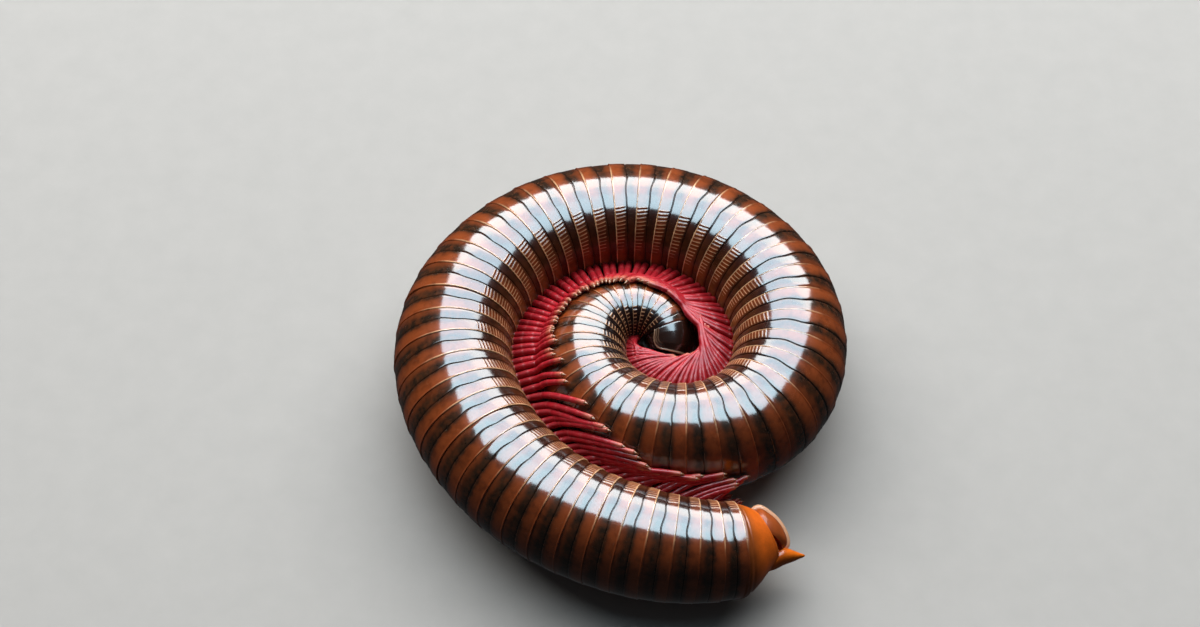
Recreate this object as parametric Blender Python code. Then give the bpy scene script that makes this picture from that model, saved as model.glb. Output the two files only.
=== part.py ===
"""A coiled giant millipede, life size, resting on its side.

The body is a tapering tube of overlapping rings wound in a flat, clockwise coil from the tail,
which is outermost, to the head, which is tucked in at the centre. The back faces outward and
the legs face inward. Lengths are in millimetres here and scaled to metres when a mesh is made.
"""
import math
import random

import bmesh
import bpy
import numpy as np
from mathutils import Vector

for existing in list(bpy.data.objects):
    bpy.data.objects.remove(existing)

MM = 0.001

# Driving dimensions of the coil: the axis as a radius about the pole, by degrees of turn
# measured clockwise from +X, from the tail to the front of the collum.
POLE = (1.27, 2.32)
AXIS_TURN = (54, 75, 95, 120, 150, 180, 215, 250, 320, 355, 390, 425, 460, 495, 540, 597, 630,
             653, 672, 691, 706, 720)
AXIS_RADIUS = (24.3, 22.3, 20.2, 18.4, 17.3, 17.2, 16.6, 16.1, 15.3, 14.9, 13.7, 10.7, 7.7, 5.75,
               4.55, 4.6, 4.73, 4.66, 4.34, 3.78, 3.24, 2.7)
AXIS_HEIGHT = 5.9
NECK_TURN = (600, 640, 676, 700, 720)
NECK_DROP = (0.0, 0.1, 0.65, 1.4, 2.2)

# Girth of the body along the coil.
GIRTH_TURN = (54, 66, 80, 100, 140, 180, 270, 355, 450, 540, 600, 640, 676, 720)
GIRTH = (8.4, 9.2, 10.2, 10.8, 11.7, 12.0, 12.0, 11.6, 10.1, 8.5, 7.1, 6.3, 5.7, 5.3)
FULL_GIRTH = 12.0

# Where the named parts of the animal begin and end, by degrees of turn.
TAIL_TURN = 66.0
NECK_END_TURN = 677.0
COLLUM_TURN = 703.0

# Rings.
RING_COUNT = 59
PITCH_TURN = (545.0, 600.0)
PITCH_SHARE = (1.0, 0.82)
RING_SIDES = 18
VENTRAL_FLATNESS = 0.08
SUTURE_DEPTH = 0.07
SUTURE_WIDTH = 0.05
NODE_GAP = 0.3
BODY_LENGTHS = 10
PITCH_PASSES = 40

# Legs.
LEG_THICKNESS = 0.060
LEG_LENGTH = 0.48
REACH_TURN = (66, 90, 140, 170, 210)
REACH = (1.0, 1.2, 1.25, 1.08, 1.0)
LEG_ROOT_ANGLE = 12.5
LEG_SINK = 0.55
LEG_TAPER = 0.28
LEG_PLACES = (0.25, 0.72)
LEG_STEP = 0.25
LEG_CLEARANCE = 0.34
LEG_SPACE = 0.07
LEGLESS_TAIL_RINGS = 1
LEGLESS_NECK_RINGS = 1
SINGLE_PAIR_RINGS = 3
SHORT_LEG_RINGS = 8
SHORT_LEG_SHARE = 0.75
SHORTEST_LEG = 1.6
LEG_STATIONS = (0.0, 0.30, 0.60, 0.86)
LEAN_TURN = (66, 90, 115, 130, 150, 175, 215, 260, 285, 305, 325, 350, 370, 385, 400, 450, 480,
             510)
LEAN_ROOT = (62, 60, 50, 36, 18, 2, 0, 2, 6, 10, 14, 15, 14, 12, 12, 12, 8, 0)
LEAN_TIP = (64, 64, 60, 44, 24, 3, 0, 5, 16, 28, 34, 34, 32, 28, 22, 18, 12, 0)
LEAN_SPREAD = (0.1, 0.7)
LEG_RISE = 0.7
LEG_FALL = 1.1
OWN_BODY_REACH = 2.2
SETTLE_TRIES = 12
SETTLE_MARGIN = 0.004
SETTLE_TOLERANCE = 0.04
MERGE_DISTANCE = 0.0000008

random.seed(58)


def spline(xs, ys):
    """Natural cubic curve through the given stations, as a function of x."""
    x = np.array(xs, float)
    y = np.array(ys, float)
    n = len(x)
    h = np.diff(x)
    system = np.eye(n)
    right = np.zeros(n)
    for i in range(1, n - 1):
        system[i, i - 1] = h[i - 1]
        system[i, i] = 2 * (h[i - 1] + h[i])
        system[i, i + 1] = h[i]
        right[i] = 6 * ((y[i + 1] - y[i]) / h[i] - (y[i] - y[i - 1]) / h[i - 1])
    bend = np.linalg.solve(system, right)

    def value(at):
        i = int(np.clip(np.searchsorted(x, at) - 1, 0, n - 2))
        a = (x[i + 1] - at) / h[i]
        b = 1 - a
        return float(a * y[i] + b * y[i + 1]
                     + ((a ** 3 - a) * bend[i] + (b ** 3 - b) * bend[i + 1]) * h[i] ** 2 / 6)

    return value


axis_radius = spline(AXIS_TURN, AXIS_RADIUS)
neck_drop = spline(NECK_TURN, NECK_DROP)
girth_at = spline(GIRTH_TURN, GIRTH)


def axis_point(turn):
    """Point of the body's axis at a turn of the coil. The thinner tail lies lower."""
    angle = math.radians(-turn)
    r = axis_radius(turn)
    height = AXIS_HEIGHT
    if turn < 180:
        height = min(AXIS_HEIGHT, 0.5 * girth_at(turn) - 0.08)
    if turn > NECK_TURN[0]:
        height -= neck_drop(turn)
    return Vector((POLE[0] + r * math.cos(angle), POLE[1] + r * math.sin(angle), height))


TURNS = np.arange(AXIS_TURN[0], AXIS_TURN[-1] + 0.01, 0.5)
AXIS = [axis_point(turn) for turn in TURNS]
RUN = np.concatenate([[0.0], np.cumsum([(b - a).length for a, b in zip(AXIS, AXIS[1:])])])
RADII = np.array([0.5 * girth_at(turn) for turn in TURNS])
AXIS_ARRAY = np.array([tuple(p) for p in AXIS])


def run_of(turn):
    """Length along the axis from the tail's end to a turn of the coil."""
    return float(np.interp(turn, TURNS, RUN))


class Section:
    """Cross-section frame of the body: tangent towards the head, back, and upper side."""

    def __init__(self, run):
        self.run = run
        turn = float(np.interp(run, RUN, TURNS))
        self.turn = turn
        self.centre = axis_point(turn)
        self.tangent = (axis_point(turn + 0.4) - axis_point(turn - 0.4)).normalized()
        self.back = Vector((0, 0, 1)).cross(self.tangent).normalized()
        self.side = self.tangent.cross(self.back)
        self.radius = 0.5 * girth_at(turn)

    def direction(self, angle):
        """Direction at an angle from the back (0) over the upper side (90) to the belly (180)."""
        a = math.radians(angle)
        return self.back * math.cos(a) + self.side * math.sin(a)

    def point(self, angle, scale=1.0):
        """Point of the ring's outline, which is a little flattened on the belly."""
        belly = max(0.0, -math.cos(math.radians(angle)))
        flat = 1 - VENTRAL_FLATNESS * belly ** 3
        p = self.centre + self.direction(angle) * (self.radius * scale * flat)
        return Vector((p.x, p.y, max(p.z, 0.0)))

    def circle(self, scale=1.0, sides=RING_SIDES):
        return [self.point(360.0 * i / sides, scale) for i in range(sides)]


def material(name, colour, roughness):
    mat = bpy.data.materials.new(name)
    mat.use_nodes = True
    shader = mat.node_tree.nodes["Principled BSDF"]
    shader.inputs["Base Color"].default_value = (*colour, 1.0)
    shader.inputs["Roughness"].default_value = roughness
    return mat


def mesh_object(name, points, faces, mat=None):
    """Mesh object in metres with its faces turned outward."""
    mesh = bpy.data.meshes.new(name)
    mesh.from_pydata([tuple(p * MM) for p in points], [], faces)
    work = bmesh.new()
    work.from_mesh(mesh)
    bmesh.ops.recalc_face_normals(work, faces=work.faces)
    work.to_mesh(mesh)
    work.free()
    if mat:
        mesh.materials.append(mat)
    obj = bpy.data.objects.new(name, mesh)
    bpy.context.scene.collection.objects.link(obj)
    return obj


def loft(name, rings, mat=None, apex=None):
    """Closed body through rings of equal point counts, ending in a flat face or an apex."""
    sides = len(rings[0])
    points = [p for ring in rings for p in ring]
    faces = [list(range(sides))]
    for row in range(len(rings) - 1):
        for i in range(sides):
            j = (i + 1) % sides
            low = row * sides
            high = low + sides
            faces.append([low + i, low + j, high + j, high + i])
    last = (len(rings) - 1) * sides
    if apex is None:
        faces.append([last + i for i in range(sides)])
    else:
        points.append(apex)
        tip = len(points) - 1
        faces += [[last + i, last + (i + 1) % sides, tip] for i in range(sides)]
    return mesh_object(name, points, faces, mat)


def fuse(body, pieces):
    """Joins closed pieces to a body in one union and keeps its largest closed surface.

    The manifold solver keeps every edge shared by two faces where many slanting legs meet
    the rings, and it takes a collection as its operand.
    """
    group = bpy.data.collections.new(body.name + "_pieces")
    bpy.context.scene.collection.children.link(group)
    for piece in pieces:
        bpy.context.scene.collection.objects.unlink(piece)
        group.objects.link(piece)
    union = body.modifiers.new("Union", "BOOLEAN")
    union.operation = "UNION"
    union.operand_type = "COLLECTION"
    union.collection = group
    union.solver = "MANIFOLD"
    bpy.context.view_layer.update()
    graph = bpy.context.evaluated_depsgraph_get()
    fused = bpy.data.meshes.new_from_object(body.evaluated_get(graph))
    body.modifiers.clear()
    body.data = fused
    for piece in list(group.objects):
        bpy.data.objects.remove(piece)
    bpy.data.collections.remove(group)
    keep_largest(fused)


def keep_largest(mesh):
    """Removes every connected surface of a mesh but the largest."""
    work = bmesh.new()
    work.from_mesh(mesh)
    bmesh.ops.triangulate(work, faces=work.faces)
    bmesh.ops.remove_doubles(work, verts=work.verts, dist=MERGE_DISTANCE)
    bmesh.ops.dissolve_degenerate(work, edges=work.edges, dist=MERGE_DISTANCE)
    left = set(work.faces)
    shells = []
    while left:
        shell = set()
        queue = [left.pop()]
        while queue:
            face = queue.pop()
            shell.add(face)
            for edge in face.edges:
                for other in edge.link_faces:
                    if other in left:
                        left.discard(other)
                        queue.append(other)
        shells.append(shell)
    largest = max(shells, key=lambda shell: sum(face.calc_area() for face in shell))
    scraps = [face for face in work.faces if face not in largest]
    bmesh.ops.delete(work, geom=scraps, context="FACES")
    loose = [vert for vert in work.verts if not vert.link_faces]
    bmesh.ops.delete(work, geom=loose, context="VERTS")
    work.to_mesh(mesh)
    work.free()


# The rings, counted from the tail, each as the runs of its rear and front edges.

def ring_edges():
    """Runs of the edges between the trunk rings. A ring's length follows the local girth."""
    start = run_of(TAIL_TURN)
    end = run_of(NECK_END_TURN)
    edges = [start]
    step = (end - start) / RING_COUNT
    for _ in range(PITCH_PASSES):
        edges = [start]
        for _ in range(RING_COUNT):
            turn = float(np.interp(edges[-1], RUN, TURNS))
            share = girth_at(turn) / FULL_GIRTH * float(np.interp(turn, PITCH_TURN, PITCH_SHARE))
            edges.append(edges[-1] + step * share)
        step *= (end - start) / (edges[-1] - start)
    return edges


EDGES = ring_edges()


def trunk_rings(first, last):
    """Cross-sections of the rings from index first to last, rear margins raised."""
    rings = []
    for index in range(first, last):
        rear = EDGES[index]
        front = EDGES[index + 1]
        pitch = front - rear
        rear_gap = NODE_GAP / 2 if index == first else SUTURE_WIDTH * pitch
        front_gap = NODE_GAP / 2 if index == last - 1 else SUTURE_WIDTH * pitch
        rings.append(Section(rear + rear_gap).circle(1.0))
        rings.append(Section(rear + 0.5 * pitch).circle(1 - 0.4 * SUTURE_DEPTH))
        rings.append(Section(front - front_gap).circle(1 - SUTURE_DEPTH))
    return rings


class Obstacles:
    """What a leg has to stay clear of: the rest of the body, the head and other legs."""

    def __init__(self):
        self.balls = []
        self.leg_points = np.zeros((0, 3))
        self.leg_halves = np.zeros(0)
        self.leg_nodes = np.zeros(0)

    def add_ball(self, centre, radius):
        self.balls.append((np.array(tuple(centre)), radius))

    def add_leg(self, points, half, node):
        self.leg_points = np.vstack([self.leg_points, [tuple(p) for p in points]])
        thinning = np.linspace(half, (1 - LEG_TAPER) * half, len(points))
        self.leg_halves = np.concatenate([self.leg_halves, thinning])
        self.leg_nodes = np.concatenate([self.leg_nodes, np.full(len(points), node)])

    def deepest(self, p, section, half, node):
        """Deepest intrusion of a leg's point, and the direction that leads out of it."""
        away = np.abs(RUN - section.run) > OWN_BODY_REACH * section.radius
        offset = p - AXIS_ARRAY
        distance = np.linalg.norm(offset, axis=1)
        depth = np.where(away, RADII + half + LEG_CLEARANCE - distance, -1.0)
        worst = int(np.argmax(depth))
        found = [(depth[worst], offset[worst] / distance[worst])]
        for centre, size in self.balls:
            reach = p - centre
            far = np.linalg.norm(reach)
            found.append((size + half + LEG_CLEARANCE - far, reach / far))
        if len(self.leg_points):
            reach = p - self.leg_points
            far = np.linalg.norm(reach, axis=1) + 1e-6
            space = np.where(self.leg_nodes == node, LEG_SPACE, LEG_CLEARANCE)
            depth = self.leg_halves + half + space - far
            worst = int(np.argmax(depth))
            found.append((depth[worst], reach[worst] / far[worst]))
        return max(found, key=lambda item: item[0])

    def settle(self, point, section, half, node):
        """Moves a leg's point clear of everything, and says whether it got free."""
        p = np.array(tuple(point))
        for _ in range(SETTLE_TRIES):
            depth, out = self.deepest(p, section, half, node)
            if depth <= 0.0:
                break
            p = p + out * (depth + SETTLE_MARGIN)
        depth, _ = self.deepest(p, section, half, node)
        return Vector(p), depth < SETTLE_TOLERANCE


def head_obstacles():
    """The collum, head and feelers as balls that no leg may enter."""
    obstacles = Obstacles()
    collum_start = run_of(NECK_END_TURN)
    for share in (0.0, 0.5, 1.0):
        ball = COLLUM_BALL * Section(collum_start).radius
        section = Section(collum_start + ball + share * (run_of(COLLUM_TURN) - collum_start - ball))
        for angle in range(0, 360, 30):
            obstacles.add_ball(section.point(angle, COLLUM_SCALES[1][1] - COLLUM_BALL), ball)
    for at, _, _, half_width in HEAD_STATIONS:
        obstacles.add_ball(head_frame(at)[0], half_width)
    for sign in (1, -1):
        for at, angle, scale in ANTENNA_STATIONS[1:]:
            obstacles.add_ball(head_point(at, sign * angle, scale), ANTENNA_HALF)
    return obstacles


def leg_lean(turn, share):
    """Degrees by which a leg leans back towards the tail, at a share of its length."""
    root = float(np.interp(turn, LEAN_TURN, LEAN_ROOT))
    tip = float(np.interp(turn, LEAN_TURN, LEAN_TIP))
    start, end = LEAN_SPREAD
    t = min(1.0, max(0.0, (share - start) / (end - start)))
    return root + (tip - root) * t


def leg_path(section, upper, obstacles, node, length, half):
    """Points of one leg, from its root outward, bent clear of what it lies over."""
    sign = 1 if upper else -1
    root_angle = 180 - sign * (LEG_ROOT_ANGLE + random.uniform(-1.5, 1.5))
    root = section.point(root_angle, 1 - 0.5 * SUTURE_DEPTH)
    normal = section.direction(root_angle)
    inward = -section.back
    sway = random.uniform(-2, 2)
    points = [root - normal * LEG_SINK]
    p = root
    travelled = 0.0
    while travelled < length:
        share = travelled / length
        lean = math.radians(sway + leg_lean(section.turn, share))
        heading = inward * math.cos(lean) - section.tangent * math.sin(lean)
        rise = LEG_RISE - LEG_FALL * share
        step = (heading + section.side * (sign * rise)).normalized() * LEG_STEP
        if travelled == 0.0:
            step = normal * LEG_STEP
        moved = p + step
        thin = half * (1 - LEG_TAPER * share)
        if travelled > 0.0:
            moved, free = obstacles.settle(moved, section, thin, node)
            stalled = (moved - p).length < 0.4 * LEG_STEP
            if not free or stalled or moved.z < thin + LEG_CLEARANCE:
                break
        p = moved
        points.append(p)
        travelled += LEG_STEP
    return points, travelled


def tapered_leg(name, points, half, sideways):
    """Four-sided tapering leg through a path, ending in a point."""
    runs = np.concatenate([[0.0], np.cumsum([(b - a).length for a, b in zip(points, points[1:])])])
    rings = []
    for share in LEG_STATIONS:
        at = share * runs[-1]
        i = min(int(np.searchsorted(runs, at, side="right")) - 1, len(points) - 2)
        t = (at - runs[i]) / (runs[i + 1] - runs[i])
        centre = points[i].lerp(points[i + 1], t)
        along = (points[min(i + 2, len(points) - 1)] - points[max(i - 1, 0)]).normalized()
        wide = (sideways - along * sideways.dot(along)).normalized()
        high = along.cross(wide)
        size = half * (1 - LEG_TAPER * share)
        rings.append([centre + wide * size, centre + high * size,
                      centre - wide * size, centre - high * size])
    return loft(name, rings, apex=points[-1])


def trunk_legs(first, last, node, obstacles):
    """Leg pairs of the rings from index first to last."""
    legs = []
    for index in range(first, last):
        from_head = RING_COUNT - 1 - index
        if index < LEGLESS_TAIL_RINGS or from_head < LEGLESS_NECK_RINGS:
            continue
        rear = Section(EDGES[index])
        front = Section(EDGES[index + 1])
        pitch = front.run - rear.run
        belly_pitch = (front.point(180) - rear.point(180)).length
        two_legs = 4 * LEG_THICKNESS * rear.radius + 2 * LEG_SPACE
        single = belly_pitch < two_legs or from_head < SINGLE_PAIR_RINGS
        places = (0.5,) if single else LEG_PLACES
        for place in places:
            section = Section(EDGES[index] + place * pitch)
            half = section.radius * LEG_THICKNESS
            reach = LEG_LENGTH * float(np.interp(section.turn, REACH_TURN, REACH))
            length = 2 * section.radius * reach * random.uniform(0.94, 1.05)
            if from_head < SHORT_LEG_RINGS:
                length *= SHORT_LEG_SHARE
            for upper in (True, False):
                points, travelled = leg_path(section, upper, obstacles, node, length, half)
                if travelled < SHORTEST_LEG:
                    continue
                obstacles.add_leg(points[1:], half, node)
                side = "u" if upper else "l"
                legs.append(tapered_leg(f"leg_{index}_{place}_{side}", points, half,
                                        section.tangent))
    return legs


# The head, in a frame that bends down towards the belly from the front of the collum.

COLLUM_SCALES = ((0.0, 1.0), (0.3, 1.05), (0.72, 1.02), (1.0, 0.93))
COLLUM_BALL = 0.34
COLLUM_RECESS = 0.6
COLLUM_RIM = 0.78
COLLUM_RIM_SLOPE = 0.02
HEAD_STATIONS = ((0.0, 1.55, 1.45, 1.80), (0.8, 1.85, 1.60, 2.10), (1.7, 1.80, 1.50, 2.15),
                 (2.5, 1.50, 1.25, 1.85), (3.2, 1.05, 0.95, 1.40), (3.7, 0.55, 0.60, 0.85))
HEAD_TIP = 0.15
HEAD_BEND = 14.0
HEAD_STEP = 0.1
HEAD_SIDES = 16
EYE_AT = 1.35
EYE_ANGLE = 52.0
EYE_LAYERS = ((0.0, 1.0), (0.14, 0.92), (0.25, 0.55))
EYE_HALF_LENGTH = 0.62
EYE_HALF_WIDTH = 0.40
EYE_SIDES = 12
ANTENNA_STATIONS = ((2.15, 70, 1.0), (2.3, 84, 1.28), (2.2, 104, 1.42), (1.9, 122, 1.45),
                    (1.4, 138, 1.50), (0.9, 148, 1.62))
ANTENNA_HALF = 0.27
ANTENNA_ROOT = 0.85
ANTENNA_SIDES = 6
ANTENNA_TIP = 0.2


def head_frame(at):
    """Centre, forward, crown and side directions of the head, at a length from its rear."""
    rear = Section(run_of(COLLUM_TURN) - COLLUM_RECESS + NODE_GAP)
    centre = rear.centre.copy()
    angle = 0.0
    travelled = 0.0
    while travelled < at:
        step = min(HEAD_STEP, at - travelled)
        angle = math.radians(HEAD_BEND * travelled)
        forward = rear.tangent * math.cos(angle) - rear.back * math.sin(angle)
        centre += forward * step
        travelled += step
    angle = math.radians(HEAD_BEND * at)
    forward = rear.tangent * math.cos(angle) - rear.back * math.sin(angle)
    crown = rear.back * math.cos(angle) + rear.tangent * math.sin(angle)
    return centre, forward, crown, rear.side


def head_point(at, angle, scale=1.0):
    """Point on the head at a length from its rear and an angle from the crown."""
    lengths = [station[0] for station in HEAD_STATIONS]
    crown_size, chin_size, half_width = (
        float(np.interp(at, lengths, [station[k] for station in HEAD_STATIONS])) for k in (1, 2, 3))
    centre, _, crown, side = head_frame(at)
    a = math.radians(angle)
    high = crown_size if math.cos(a) > 0 else chin_size
    return centre + crown * (high * math.cos(a) * scale) + side * (half_width * math.sin(a) * scale)


def build_collum(mat):
    start = run_of(NECK_END_TURN) + NODE_GAP / 2
    end = run_of(COLLUM_TURN)
    rings = []
    for share, scale in COLLUM_SCALES:
        rings.append(Section(start + share * (end - start)).circle(scale))
    front = Section(end)
    rings.append(front.circle(COLLUM_RIM))
    rings.append(Section(end - COLLUM_RECESS).circle(COLLUM_RIM - COLLUM_RIM_SLOPE))
    return loft("collum", rings, mat)


def build_head(mat):
    rings = []
    for station in HEAD_STATIONS:
        rings.append([head_point(station[0], 360.0 * i / HEAD_SIDES) for i in range(HEAD_SIDES)])
    centre, forward, _, _ = head_frame(HEAD_STATIONS[-1][0])
    return loft("head", rings, mat, apex=centre + forward * HEAD_TIP)


def build_eye(name, sign, mat):
    """Low oval dome of clustered eyelets on the upper side of the head."""
    angle = sign * EYE_ANGLE
    seat = head_point(EYE_AT, angle)
    ahead = (head_point(EYE_AT + 0.3, angle) - head_point(EYE_AT - 0.3, angle)).normalized()
    across = (head_point(EYE_AT, angle + 8) - head_point(EYE_AT, angle - 8)).normalized()
    out = across.cross(ahead)
    if out.dot(seat - head_frame(EYE_AT)[0]) < 0:
        out = -out
    base = seat + out * NODE_GAP
    rings = []
    for lift, scale in EYE_LAYERS:
        ring = []
        for i in range(EYE_SIDES):
            a = 2 * math.pi * i / EYE_SIDES
            ring.append(base + out * lift + ahead * (EYE_HALF_LENGTH * scale * math.cos(a))
                        + across * (EYE_HALF_WIDTH * scale * math.sin(a)))
        rings.append(ring)
    return loft(name, rings, mat)


def build_antenna(name, sign, mat):
    """Beaded feeler folded back along the cheek."""
    centre_line = []
    for at, angle, scale in ANTENNA_STATIONS:
        centre_line.append(head_point(at, sign * angle, scale))
    base = centre_line[0]
    out = (centre_line[1] - centre_line[0]).normalized()
    centre_line[0] = base + out * NODE_GAP
    rings = []
    for k in range(len(centre_line)):
        before = centre_line[max(k - 1, 0)]
        after = centre_line[min(k + 1, len(centre_line) - 1)]
        along = (after - before).normalized()
        wide = along.orthogonal().normalized()
        if k:
            wide = (previous - along * previous.dot(along)).normalized()
        previous = wide
        high = along.cross(wide)
        size = ANTENNA_HALF * (1.0 if k else ANTENNA_ROOT)
        ring = []
        for i in range(ANTENNA_SIDES):
            a = 2 * math.pi * i / ANTENNA_SIDES
            ring.append(centre_line[k] + wide * (size * math.cos(a)) + high * (size * math.sin(a)))
        rings.append(ring)
    tip = centre_line[-1] + (centre_line[-1] - centre_line[-2]).normalized() * ANTENNA_TIP
    return loft(name, rings, mat, apex=tip)


# The tail end: the preanal ring with its spine, and the two anal valves.

# Lengths behind the trunk are along the axis, and lifts are towards the back.
TAIL_ROLL = 25.0
TELSON_LENGTH = 2.65
TELSON_SLANT = 0.237
TELSON_STATIONS = ((0.0, 1.0, 1.0), (0.35, 0.82, 0.97), (0.7, 0.60, 0.92), (1.0, 0.44, 0.86))
SPINE_AT = 3.1
SPINE_STATIONS = ((-1.9, 1.5, 1.5), (-0.4, 1.15, 1.7), (1.0, 0.72, 1.8))
SPINE_TIP = (2.85, 2.0)
SPINE_FLATNESS = 0.75
SPINE_SIDES = 8
VALVE_OUTLINE = ((2.75, -3.3), (3.45, -2.75), (4.0, -2.0), (4.35, -1.2), (4.5, -0.35))
VALVE_ENDS = (-3.1, 0.3)
VALVE_HEIGHT = 2.35
VALVE_LAYERS = (0.0, 24.0, 48.0, 68.0)


def tail_section(behind):
    """Cross-section at a length behind the last trunk ring, with the tail end's own roll."""
    section = Section(run_of(TAIL_TURN) - NODE_GAP / 2 - behind)
    roll = math.radians(TAIL_ROLL)
    back = section.back
    side = section.side
    section.back = back * math.cos(roll) - side * math.sin(roll)
    section.side = side * math.cos(roll) + back * math.sin(roll)
    return section


def telson_point(share, angle, back_scale, belly_scale):
    """Point of the last ring. It is longer and lower at the back than at the belly."""
    facing = math.cos(math.radians(angle))
    to_back = 0.5 * (1 + facing)
    _, back_end, belly_end = TELSON_STATIONS[-1]
    end_scale = back_end * to_back + belly_end * (1 - to_back)
    end_reach = tail_section(TELSON_LENGTH).radius * end_scale * facing
    section = tail_section(share * (TELSON_LENGTH + TELSON_SLANT * end_reach))
    return section.point(angle, back_scale * to_back + belly_scale * (1 - to_back))


def build_telson(mat):
    rings = []
    for share, back_scale, belly_scale in TELSON_STATIONS:
        rings.append([telson_point(share, 360.0 * i / RING_SIDES, back_scale, belly_scale)
                      for i in range(RING_SIDES)])
    middle = sum(rings[-1], Vector()) / RING_SIDES
    telson = loft("telson", rings, mat, apex=middle)
    end = tail_section(SPINE_AT)
    spine = []
    for behind, size, lift in SPINE_STATIONS:
        centre = end.centre + end.back * lift - end.tangent * behind
        ring = []
        for i in range(SPINE_SIDES):
            a = 2 * math.pi * i / SPINE_SIDES
            ring.append(centre + end.back * (size * SPINE_FLATNESS * math.cos(a))
                        + end.side * (size * math.sin(a)))
        spine.append(ring)
    tip = end.centre + end.back * SPINE_TIP[1] - end.tangent * SPINE_TIP[0]
    fuse(telson, [loft("spine", spine, apex=tip)])
    telson.data.materials.clear()
    telson.data.materials.append(mat)
    return telson


def build_valve(name, sign, mat):
    """Half dome behind the last ring, on one side of the tail end's middle plane."""
    belly_end, back_end = VALVE_ENDS
    outline = [(TELSON_LENGTH + TELSON_SLANT * belly_end + NODE_GAP, belly_end), *VALVE_OUTLINE,
               (TELSON_LENGTH + TELSON_SLANT * back_end + NODE_GAP, back_end)]
    middle = 0.5 * (belly_end + back_end)
    rings = []
    for layer in VALVE_LAYERS:
        shrink = math.cos(math.radians(layer))
        height = NODE_GAP / 2 + VALVE_HEIGHT * math.sin(math.radians(layer))
        ring = []
        for behind, lift in outline:
            chord = TELSON_LENGTH + TELSON_SLANT * lift + NODE_GAP
            drawn_in = middle + (lift - middle) * shrink
            start = TELSON_LENGTH + TELSON_SLANT * drawn_in + NODE_GAP
            section = tail_section(start + (behind - chord) * shrink)
            ring.append(section.centre + section.back * drawn_in
                        + section.side * (sign * height))
        rings.append(ring)
    top = tail_section(TELSON_LENGTH + TELSON_SLANT * middle + NODE_GAP + 0.1)
    apex = (top.centre + top.back * middle
            + top.side * (sign * (NODE_GAP / 2 + VALVE_HEIGHT)))
    return loft(name, rings, mat, apex=apex)


def build_millipede():
    cuticle = material("brown cuticle", (0.16, 0.045, 0.016), 0.28)
    dark = material("dark head shield", (0.045, 0.020, 0.012), 0.25)
    orange = material("orange tail cuticle", (0.50, 0.13, 0.03), 0.35)
    pale = material("pale valve rim", (0.62, 0.30, 0.16), 0.4)
    feeler = material("red feeler", (0.35, 0.03, 0.03), 0.4)
    eye = material("black eyelets", (0.01, 0.01, 0.012), 0.15)

    obstacles = head_obstacles()
    build_collum(dark)
    build_head(dark)
    build_eye("eye_right", 1, eye)
    build_eye("eye_left", -1, eye)
    build_antenna("antenna_right", 1, feeler)
    build_antenna("antenna_left", -1, feeler)
    build_telson(orange)
    build_valve("anal_valve_right", 1, pale)
    build_valve("anal_valve_left", -1, pale)

    cuts = [round(RING_COUNT * k / BODY_LENGTHS) for k in range(BODY_LENGTHS + 1)]
    for k in range(BODY_LENGTHS):
        name = f"body_length_{BODY_LENGTHS - k:02d}"
        body = loft(name, trunk_rings(cuts[k], cuts[k + 1]))
        fuse(body, trunk_legs(cuts[k], cuts[k + 1], k, obstacles))
        body.data.materials.clear()
        body.data.materials.append(cuticle)


build_millipede()
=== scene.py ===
"""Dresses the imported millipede: ringed body, legs, head, tail, finishes, light and camera.

Lengths are in millimetres unless a property says otherwise, and become metres in a mesh.
A place on the body is a run (length along its axis from the tail's end) and an angle round it:
0 at the back, 90 on the side that lies uppermost, 180 at the belly.
"""
import math
import random

import bpy
import numpy as np
from bpy.props import FloatProperty, FloatVectorProperty, IntProperty, PointerProperty
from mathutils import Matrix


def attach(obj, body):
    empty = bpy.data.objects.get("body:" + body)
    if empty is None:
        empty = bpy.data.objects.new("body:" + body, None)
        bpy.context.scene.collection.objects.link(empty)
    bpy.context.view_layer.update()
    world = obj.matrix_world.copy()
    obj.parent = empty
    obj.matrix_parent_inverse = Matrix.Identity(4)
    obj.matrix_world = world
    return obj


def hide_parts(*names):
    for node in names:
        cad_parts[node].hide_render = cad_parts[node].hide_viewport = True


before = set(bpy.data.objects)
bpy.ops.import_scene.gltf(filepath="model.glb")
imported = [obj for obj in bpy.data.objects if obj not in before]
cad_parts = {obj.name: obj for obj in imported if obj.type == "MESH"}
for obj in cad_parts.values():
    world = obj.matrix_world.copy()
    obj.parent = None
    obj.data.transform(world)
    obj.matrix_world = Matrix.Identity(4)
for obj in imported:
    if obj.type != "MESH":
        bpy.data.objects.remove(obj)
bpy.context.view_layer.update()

bl_info = {
    "name": "Coiled Millipede",
    "version": (1, 0, 0),
    "blender": (4, 5, 0),
    "location": "View3D > Sidebar > Millipede",
    "description": "Builds the rings, legs, head, tail and stage of a coiled giant millipede",
    "category": "Add Mesh",
}

MM = 0.001
BODY = "root"

# The coil: the axis as a radius about the pole, by degrees of turn clockwise from +X.
POLE = (1.27, 2.32)
AXIS_TURN = (54, 75, 95, 120, 150, 180, 215, 250, 320, 355, 390, 425, 460, 495, 540, 597, 630,
             653, 672, 691, 706, 720)
AXIS_RADIUS = (24.3, 22.3, 20.2, 18.4, 17.3, 17.2, 16.6, 16.1, 15.3, 14.9, 13.7, 10.7, 7.7, 5.75,
               4.55, 4.6, 4.73, 4.66, 4.34, 3.78, 3.24, 2.7)
AXIS_HEIGHT = 5.9
NECK_TURN = (600, 640, 676, 700, 720)
NECK_DROP = (0.0, 0.1, 0.65, 1.4, 2.2)
GIRTH_TURN = (54, 66, 80, 100, 140, 180, 270, 355, 450, 540, 600, 640, 676, 720)
GIRTH = (8.4, 9.2, 10.2, 10.8, 11.7, 12.0, 12.0, 11.6, 10.1, 8.5, 7.1, 6.3, 5.7, 5.3)
FULL_GIRTH = 12.0
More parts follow.
